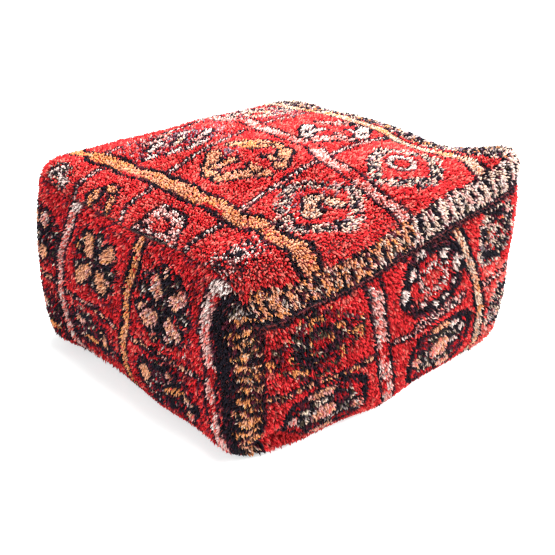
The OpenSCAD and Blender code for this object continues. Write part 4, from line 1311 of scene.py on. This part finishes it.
class POUF_OT_seams(bpy.types.Operator):
    """Sews the seams: a thread that winds along each seam"""
    bl_idname = "pouf.seams"
    bl_label = "Seams"

    def execute(self, context):
        form = Form(context.scene.pouf_shape)
        paint = thread_paint("seam_thread", dye("3c171b"))
        for node, path in self.routes(form).items():
            made = stitched(node + "_stitches", path, paint)
            dress(made, node)
        return {"FINISHED"}

    def routes(self, form):
        """Each thread's path: round the top and the base, down the corners, and past the ends of the zip."""
        deep, lost = 0.6 * form.s.rug_thickness, form.s.seam_gap / 2
        around = [np.stack(on_side(side, np.linspace(-1, 1, 145)[:-1]), 1) for side in range(4)]
        ex, ey = np.concatenate(around).T
        x, y = loop(ex, ey, form.foot[0] - lost, form.foot[1] - lost, form.foot_radius - lost)
        routes = {
            "top_seam_thread": form.seam(ex, ey, deep),
            "base_seam_thread": np.stack([x, y, np.full_like(x, FLOOR_CLOTH)], -1),
        }
        steps = np.concatenate([np.linspace(0.02, 1, 50), np.linspace(1, 1.95, 30)[1:]])
        one = np.ones_like(steps)
        for fy, fb in ((-1, "front"), (1, "back")):
            for fx, lr in ((-1, "left"), (1, "right")):
                routes[f"corner_thread_{fb}_{lr}"] = form.wall(one * fx, one * fy, steps, deep)
        for fb in ("front", "back"):
            low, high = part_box(f"base_centre_thread_{fb}")
            ys = np.linspace(low.y, high.y, 12)
            routes[f"base_centre_thread_{fb}"] = np.stack([0 * ys, ys, np.full_like(ys, FLOOR_CLOTH)], -1)
        return routes


def stitched(name, path, paint):
    """A thread along a path that winds over the two cloth edges it joins, stitch by stitch."""
    run = run_along(path)
    at = np.linspace(0, run[-1], max(6, int(run[-1] / 0.0016)))
    line = np.stack([np.interp(at, run, path[:, i]) for i in range(3)], -1)
    way = unit(np.gradient(line, axis=0))
    upright = np.abs(way[:, 2:]) > 0.8
    first = unit(np.cross(way, np.where(upright, np.array([[1.0, 0.0, 0.0]]), np.array([[0.0, 0.0, 1.0]]))))
    second = np.cross(way, first)
    turn = 2 * math.pi * at / STITCH_LENGTH
    winding = line + STITCH_SWING * (np.cos(turn)[:, None] * first + np.sin(turn)[:, None] * second)
    return tube(name, winding, THREAD_RADIUS, paint, 5)


class POUF_OT_base_cloth(bpy.types.Operator):
    """Cuts the two halves of the base cloth and folds a hem along the zip"""
    bl_idname = "pouf.base_cloth"
    bl_label = "Base Cloth"
    # Thickness of the cloth, where it folds beside the zip, how far the hem reaches, half the slit's length
    # and the hem's length along the cloth, in metres
    THICK, FOLD, REACH, END, HEM = 0.0036, 0.011, 0.038, 0.2, 0.03
    # The hem's profile from the fold: a round turn up, then flat
    PROFILE = ((FOLD - 0.0014, 0.0026), (FOLD - 0.002, 0.004), (FOLD - 0.0014, 0.0054), (FOLD, 0.006),
               (FOLD + 0.009, 0.0061), (FOLD + 0.018, 0.006), (REACH - 0.001, 0.006))
    # Height of the cloth's ripples, and how many radians they turn in a metre, across and along
    RIPPLE, RIPPLE_TURNS = 0.00025, (240, 310)

    def execute(self, context):
        form = Form(context.scene.pouf_shape)
        paint = weave_paint("base_canvas", tuple(context.scene.pouf_colours.canvas), 70.0, 0.6)
        gap = form.s.seam_gap / 2
        for way, name in ((-1, "left"), (1, "right")):
            node = "base_panel_" + name
            low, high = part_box(node)
            wide, deep = max(abs(low.x), abs(high.x)), high.y
            bm = self.outline(form, wide, deep)
            self.cut_slit(bm, gap)
            self.fold_hem(bm)
            place = self.rippled(bm, wide, deep, way)
            bmesh.ops.recalc_face_normals(bm, faces=bm.faces[:])
            made = cloth("base_cloth_" + name, bm, paint, place, self.THICK)
            dress(made, node)
        return {"FINISHED"}

    def outline(self, form, wide, deep):
        """A flat grid with the base's rounded corners."""
        bm = bmesh.new()
        bmesh.ops.create_grid(bm, x_segments=60, y_segments=60, size=1.0)
        flat = np.array([v.co[:2] for v in bm.verts])
        m = np.maximum(np.abs(flat).max(1), 1e-9)
        radius = np.maximum((form.foot_radius - form.s.seam_gap) * m ** 6, 1e-9)
        x, y = loop(*(flat / m[:, None]).T, wide * m, deep * m, radius)
        for v, *at in zip(bm.verts, x, y):
            v.co = (*at, FLOOR_CLOTH)
        return bm

    def cut_slit(self, bm, gap):
        """Keeps the right half and cuts its slit for the zip."""
        for point, normal, cut in (
                ((gap, 0, 0), (-1, 0, 0), True), ((self.FOLD, 0, 0), (1, 0, 0), False),
                ((0, self.END, 0), (0, 1, 0), False), ((0, -self.END, 0), (0, 1, 0), False)):
            bmesh.ops.bisect_plane(bm, geom=bm.verts[:] + bm.edges[:] + bm.faces[:], dist=1e-6,
                                   plane_co=point, plane_no=normal, clear_outer=cut)
        middles = {f: f.calc_center_median() for f in bm.faces}
        slit = [f for f, at in middles.items() if at.x < self.FOLD and abs(at.y) < self.END]
        bmesh.ops.delete(bm, geom=slit, context="FACES")

    def fold_hem(self, bm):
        """Turns the slit's edge up and back over the cloth, along the hem's profile."""
        def on_fold(v):
            return abs(v.co.x - self.FOLD) < 1e-6 and abs(v.co.y) < self.END + 1e-6

        hem = [e for e in bm.edges if e.is_boundary and all(on_fold(v) for v in e.verts)]
        for x, z in self.PROFILE:
            made = bmesh.ops.extrude_edge_only(bm, edges=hem)["geom"]
            hem = [e for e in made if isinstance(e, bmesh.types.BMEdge)]
            for v in {v for e in hem for v in e.verts}:
                v.co.x, v.co.z = x, z

    def rippled(self, bm, wide, deep, way):
        """Ripples the flat of the cloth, turns it to its side of the zip and returns its map."""
        inner = 0.96
        place = []
        for v in bm.verts:
            flat = v.co.z < FLOOR_CLOTH + 0.0001
            if flat and abs(v.co.y) < deep * inner and v.co.x < wide * inner:
                across, along = (math.sin(c * k + i) for c, k, i in zip(v.co, self.RIPPLE_TURNS, (1, 0)))
                v.co.z += self.RIPPLE * along * across
            place.append((v.co.x if v.co.z < FLOOR_CLOTH + 0.001 else -v.co.x, v.co.y))
            v.co.x *= way
        return place


class POUF_OT_zip(bpy.types.Operator):
    """Weaves the zip tapes and gives the zip's metal its finish"""
    bl_idname = "pouf.zip"
    bl_label = "Zip"
    METAL = ("zip_teeth_left", "zip_teeth_right", "zip_slider", "zip_pull", "zip_top_stop_left",
             "zip_top_stop_right", "zip_bottom_stop")
    # Thickness of a tape, height of its ribs and of its ripples, and the rounding of metal edges, in metres
    TAPE, RIB, RIPPLE, ROUNDING = 0.0005, 0.00012, 0.00008, 0.00018

    def execute(self, context):
        paint = weave_paint("zip_tape_weave", dye("6f6350"), 170.0, 0.5)
        for name in ("left", "right"):
            self.weave_tape(name, paint)
        brass = brass_paint()
        for node in self.METAL:
            self.finish_metal(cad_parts[node], brass)
        return {"FINISHED"}

    def weave_tape(self, name, paint):
        """A ribbed tape as wide and long as its node, a little rippled along."""
        node = "zip_tape_" + name
        low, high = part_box(node)
        bm = bmesh.new()
        bmesh.ops.create_grid(bm, x_segments=10, y_segments=120, size=0.5)
        place = []
        for v in bm.verts:
            x, y = v.co.x + 0.5, v.co.y + 0.5
            lift = self.RIB * math.cos(x * math.pi * 10) + self.RIPPLE * math.sin(y * 150)
            v.co = (low.x + x * (high.x - low.x), low.y + y * (high.y - low.y), (low.z + high.z) / 2 + lift)
            place.append((v.co.x, v.co.y))
        made = cloth(node + "_woven", bm, paint, place, self.TAPE)
        dress(made, node)

    def finish_metal(self, piece, brass):
        """Brass with its sharp edges rounded off."""
        piece.data.materials.clear()
        piece.data.materials.append(brass)
        weld = piece.modifiers.new("join", "WELD")
        weld.merge_threshold = 1e-6
        soft = piece.modifiers.new("soft_edges", "BEVEL")
        soft.width, soft.segments, soft.limit_method = self.ROUNDING, 2, "ANGLE"
        soft.angle_limit = math.radians(40)


class POUF_OT_filling(bpy.types.Operator):
    """Fills the cover: a cotton liner bag and the loose stuffing in it"""
    bl_idname = "pouf.filling"
    bl_label = "Filling"

    def execute(self, context):
        form = Form(context.scene.pouf_shape)
        calico = weave_paint("liner_calico", tuple(context.scene.pouf_colours.calico), 90.0, 0.4)
        bag = stuffed_form("liner_bag_calico", form, 0.0154, 0.0054, 0.0142, 34, calico, 0.0008, 31)
        dress(bag, "liner_bag")
        fibre = fibre_paint("mixed_fibre", dye("cdbfa4"))
        fill = stuffed_form("stuffing_fill", form, 0.0180, 0.0078, 0.0166, 30, fibre, 0.0016, 32)
        dress(fill, "stuffing")
        return {"FINISHED"}


def stuffed_form(name, form, inset, foot, over_zip, cuts, paint, creases, seed):
    """A closed stuffed form inside the cover, creased inwards, raised from its foot over the zip."""
    zip_room, slack = (0.046, 0.212), (0.004, 0.003)
    bm = bmesh.new()
    bmesh.ops.create_cube(bm, size=2.0)
    bmesh.ops.subdivide_edges(bm, edges=bm.edges[:], cuts=cuts, use_grid_fill=True)
    cube = np.array([v.co[:] for v in bm.verts])
    x, y, z = cube.T
    on_top, on_floor = z > 0.999, z < -0.999
    m = np.maximum(np.abs(x), np.abs(y))
    ex, ey = x / np.maximum(m, 1e-9), y / np.maximum(m, 1e-9)
    fold = inset + creases * (1 + ripple(cube, 0.35, seed)) / 2
    top, walls = form.top(x, y, fold), form.wall(ex, ey, 1 - z, fold)
    a, b = ((half - slack[0]) * m for half in form.foot)
    fx, fy = loop(ex, ey, a, b, np.maximum((form.foot_radius - slack[1]) * m ** 4, 1e-9))
    room = (np.abs(fx) < zip_room[0]) & (np.abs(fy) < zip_room[1])
    sole = np.stack([fx, fy, np.where(room, over_zip, foot)], -1)
    co = np.where(on_top[:, None], top, np.where(on_floor[:, None], sole, walls))
    co[:, 2] = np.maximum(co[:, 2], foot)
    for v, p in zip(bm.verts, co):
        v.co = p
    bmesh.ops.recalc_face_normals(bm, faces=bm.faces[:])
    around = np.stack([(ex + ey) * 0.3, z * 0.16], -1)
    place = np.where((on_top | on_floor)[:, None], cube[:, :2] * 0.3, around)
    return cloth(name, bm, paint, place)


class POUF_OT_stage(bpy.types.Operator):
    """Sets the floor, the soft studio light and the camera"""
    bl_idname = "pouf.stage"
    bl_label = "Stage"
    # Each lamp's place and size in metres, its power in watts and its tint; all point at the middle
    LAMPS = {
        "overhead": ((0.25, -0.15, 2.3), 1.5, 142, (1.0, 0.98, 0.96)),
        "front_fill": ((1.7, -2.0, 1.25), 1.3, 140, (1.0, 0.99, 0.98)),
        "left_fill": ((-2.3, -0.6, 1.0), 1.6, 42, (0.97, 0.98, 1.0)),
    }
    LAMPS_AIM = Vector((0, 0, 0.2))
    # The camera's way round and up in degrees, and its distance from what it looks at in metres
    AROUND, RISE, DISTANCE, LOOKS_AT = -42.04, 24.90, 1.6766, Vector((0, 0, 0.15))
    # The photograph's size, focal length and point straight ahead, in pixels; and the sensor in millimetres
    PHOTO, FOCAL, AHEAD, SENSOR = 555, 1003.82, (274.42, 262.20), 36.0

    def execute(self, context):
        scene = context.scene
        scene.view_settings.view_transform = "Standard"
        bm = bmesh.new()
        bmesh.ops.create_grid(bm, x_segments=1, y_segments=1, size=8.0)
        mesh = bpy.data.meshes.new("floor")
        bm.to_mesh(mesh)
        bm.free()
        floor = link("floor", mesh)
        mesh.materials.append(floor_paint())
        scene.world = studio_world()
        for name, (place, size, power, tint) in self.LAMPS.items():
            lamp = bpy.data.lights.new(name, "AREA")
            lamp.size, lamp.energy, lamp.color = size, power, tint
            holder = link(name, lamp)
            holder.location = place
            holder.rotation_euler = (self.LAMPS_AIM - Vector(place)).to_track_quat("-Z", "Y").to_euler()
        scene.camera = self.photo_camera()
        return {"FINISHED"}

    def photo_camera(self):
        """The camera that the photograph was taken with, as fitted to the pouf's outline."""
        around, rise = math.radians(self.AROUND), math.radians(self.RISE)
        level = Vector((math.sin(around), -math.cos(around), 0)) * math.cos(rise)
        back = level + Vector((0, 0, math.sin(rise)))
        eye = bpy.data.cameras.new("photo_view")
        eye.sensor_width, eye.lens = self.SENSOR, self.FOCAL / self.PHOTO * self.SENSOR
        eye.shift_x = (self.PHOTO / 2 - self.AHEAD[0]) / self.PHOTO
        eye.shift_y = (self.AHEAD[1] - self.PHOTO / 2) / self.PHOTO
        camera = link("photo_view", eye)
        camera.location = self.LOOKS_AT + back * self.DISTANCE
        camera.rotation_euler = (-back).to_track_quat("-Z", "Y").to_euler()
        return camera


def studio_world():
    """Soft light from all round, plain white where the camera or a shine sees it."""
    world = bpy.data.worlds.new("studio")
    world.use_nodes = True
    w = Nodes(world.node_tree)
    soft = w.node("ShaderNodeBackground", {}, {"Color": (1.0, 0.985, 0.97, 1), "Strength": 0.52})
    plain = w.node("ShaderNodeBackground", {}, {"Color": (1, 1, 1, 1), "Strength": 1.0})
    camera, shine = (w.node("ShaderNodeLightPath", output=f"Is {ray} Ray") for ray in ("Camera", "Glossy"))
    seen = w.node("ShaderNodeMath", {"operation": "MAXIMUM"}, {0: camera, 1: shine})
    blend = w.node("ShaderNodeMixShader", {}, {0: seen, 1: soft, 2: plain})
    w.feed(w.tree.nodes["World Output"].inputs["Surface"], blend)
    return world


def floor_paint():
    """White floor that keeps the soft shadow: part of its white is its own, for the camera only.

    That part grows from the pouf to the far floor, so that the floor runs into the white behind it.
    """
    near, far, near_white, far_white = 0.9, 2.4, 0.44, 1.0
    p = Paint("floor_white", Roughness=1.0, Base_Color=(0.79, 0.83, 0.83, 1), Specular_IOR_Level=0.0)
    distance = p.node("ShaderNodeVectorMath", {"operation": "LENGTH"}, {0: p.place()}, "Value")
    own = p.node("ShaderNodeMapRange", {}, {"Value": distance, "From Min": near, "From Max": far,
                                            "To Min": near_white, "To Max": far_white})
    seen = p.node("ShaderNodeLightPath", output="Is Camera Ray")
    p.set(Emission_Color=own * seen, Emission_Strength=1.0)
    return p.material


STEPS = (POUF_OT_stage, POUF_OT_top_panel, POUF_OT_side_panels, POUF_OT_seams, POUF_OT_base_cloth,
         POUF_OT_zip, POUF_OT_filling)
GROUPS = {"pouf_shape": PoufShape, "pouf_pile": PoufPile, "pouf_colours": PoufColours}


class POUF_PT_sidebar(bpy.types.Panel):
    """Lists the pouf's sizes, colours and pieces"""
    bl_idname = "POUF_PT_sidebar"
    bl_label = "Pouf"
    bl_space_type = "VIEW_3D"
    bl_region_type = "UI"
    bl_category = "Pouf"

    def draw(self, context):
        for step in STEPS:
            self.layout.operator(step.bl_idname)
        for group, kind in GROUPS.items():
            box = self.layout.box()
            for name in kind.__annotations__:
                box.prop(getattr(context.scene, group), name)


def register():
    for kind in (*GROUPS.values(), *STEPS, POUF_PT_sidebar):
        bpy.utils.register_class(kind)
    for group, kind in GROUPS.items():
        setattr(bpy.types.Scene, group, PointerProperty(type=kind))


def unregister():
    for group in GROUPS:
        delattr(bpy.types.Scene, group)
    for kind in reversed((*GROUPS.values(), *STEPS, POUF_PT_sidebar)):
        bpy.utils.unregister_class(kind)


def main():
    register()
    for step in STEPS:
        family, name = step.bl_idname.split(".")
        getattr(getattr(bpy.ops, family), name)()


if __name__ == "__main__":
    main()
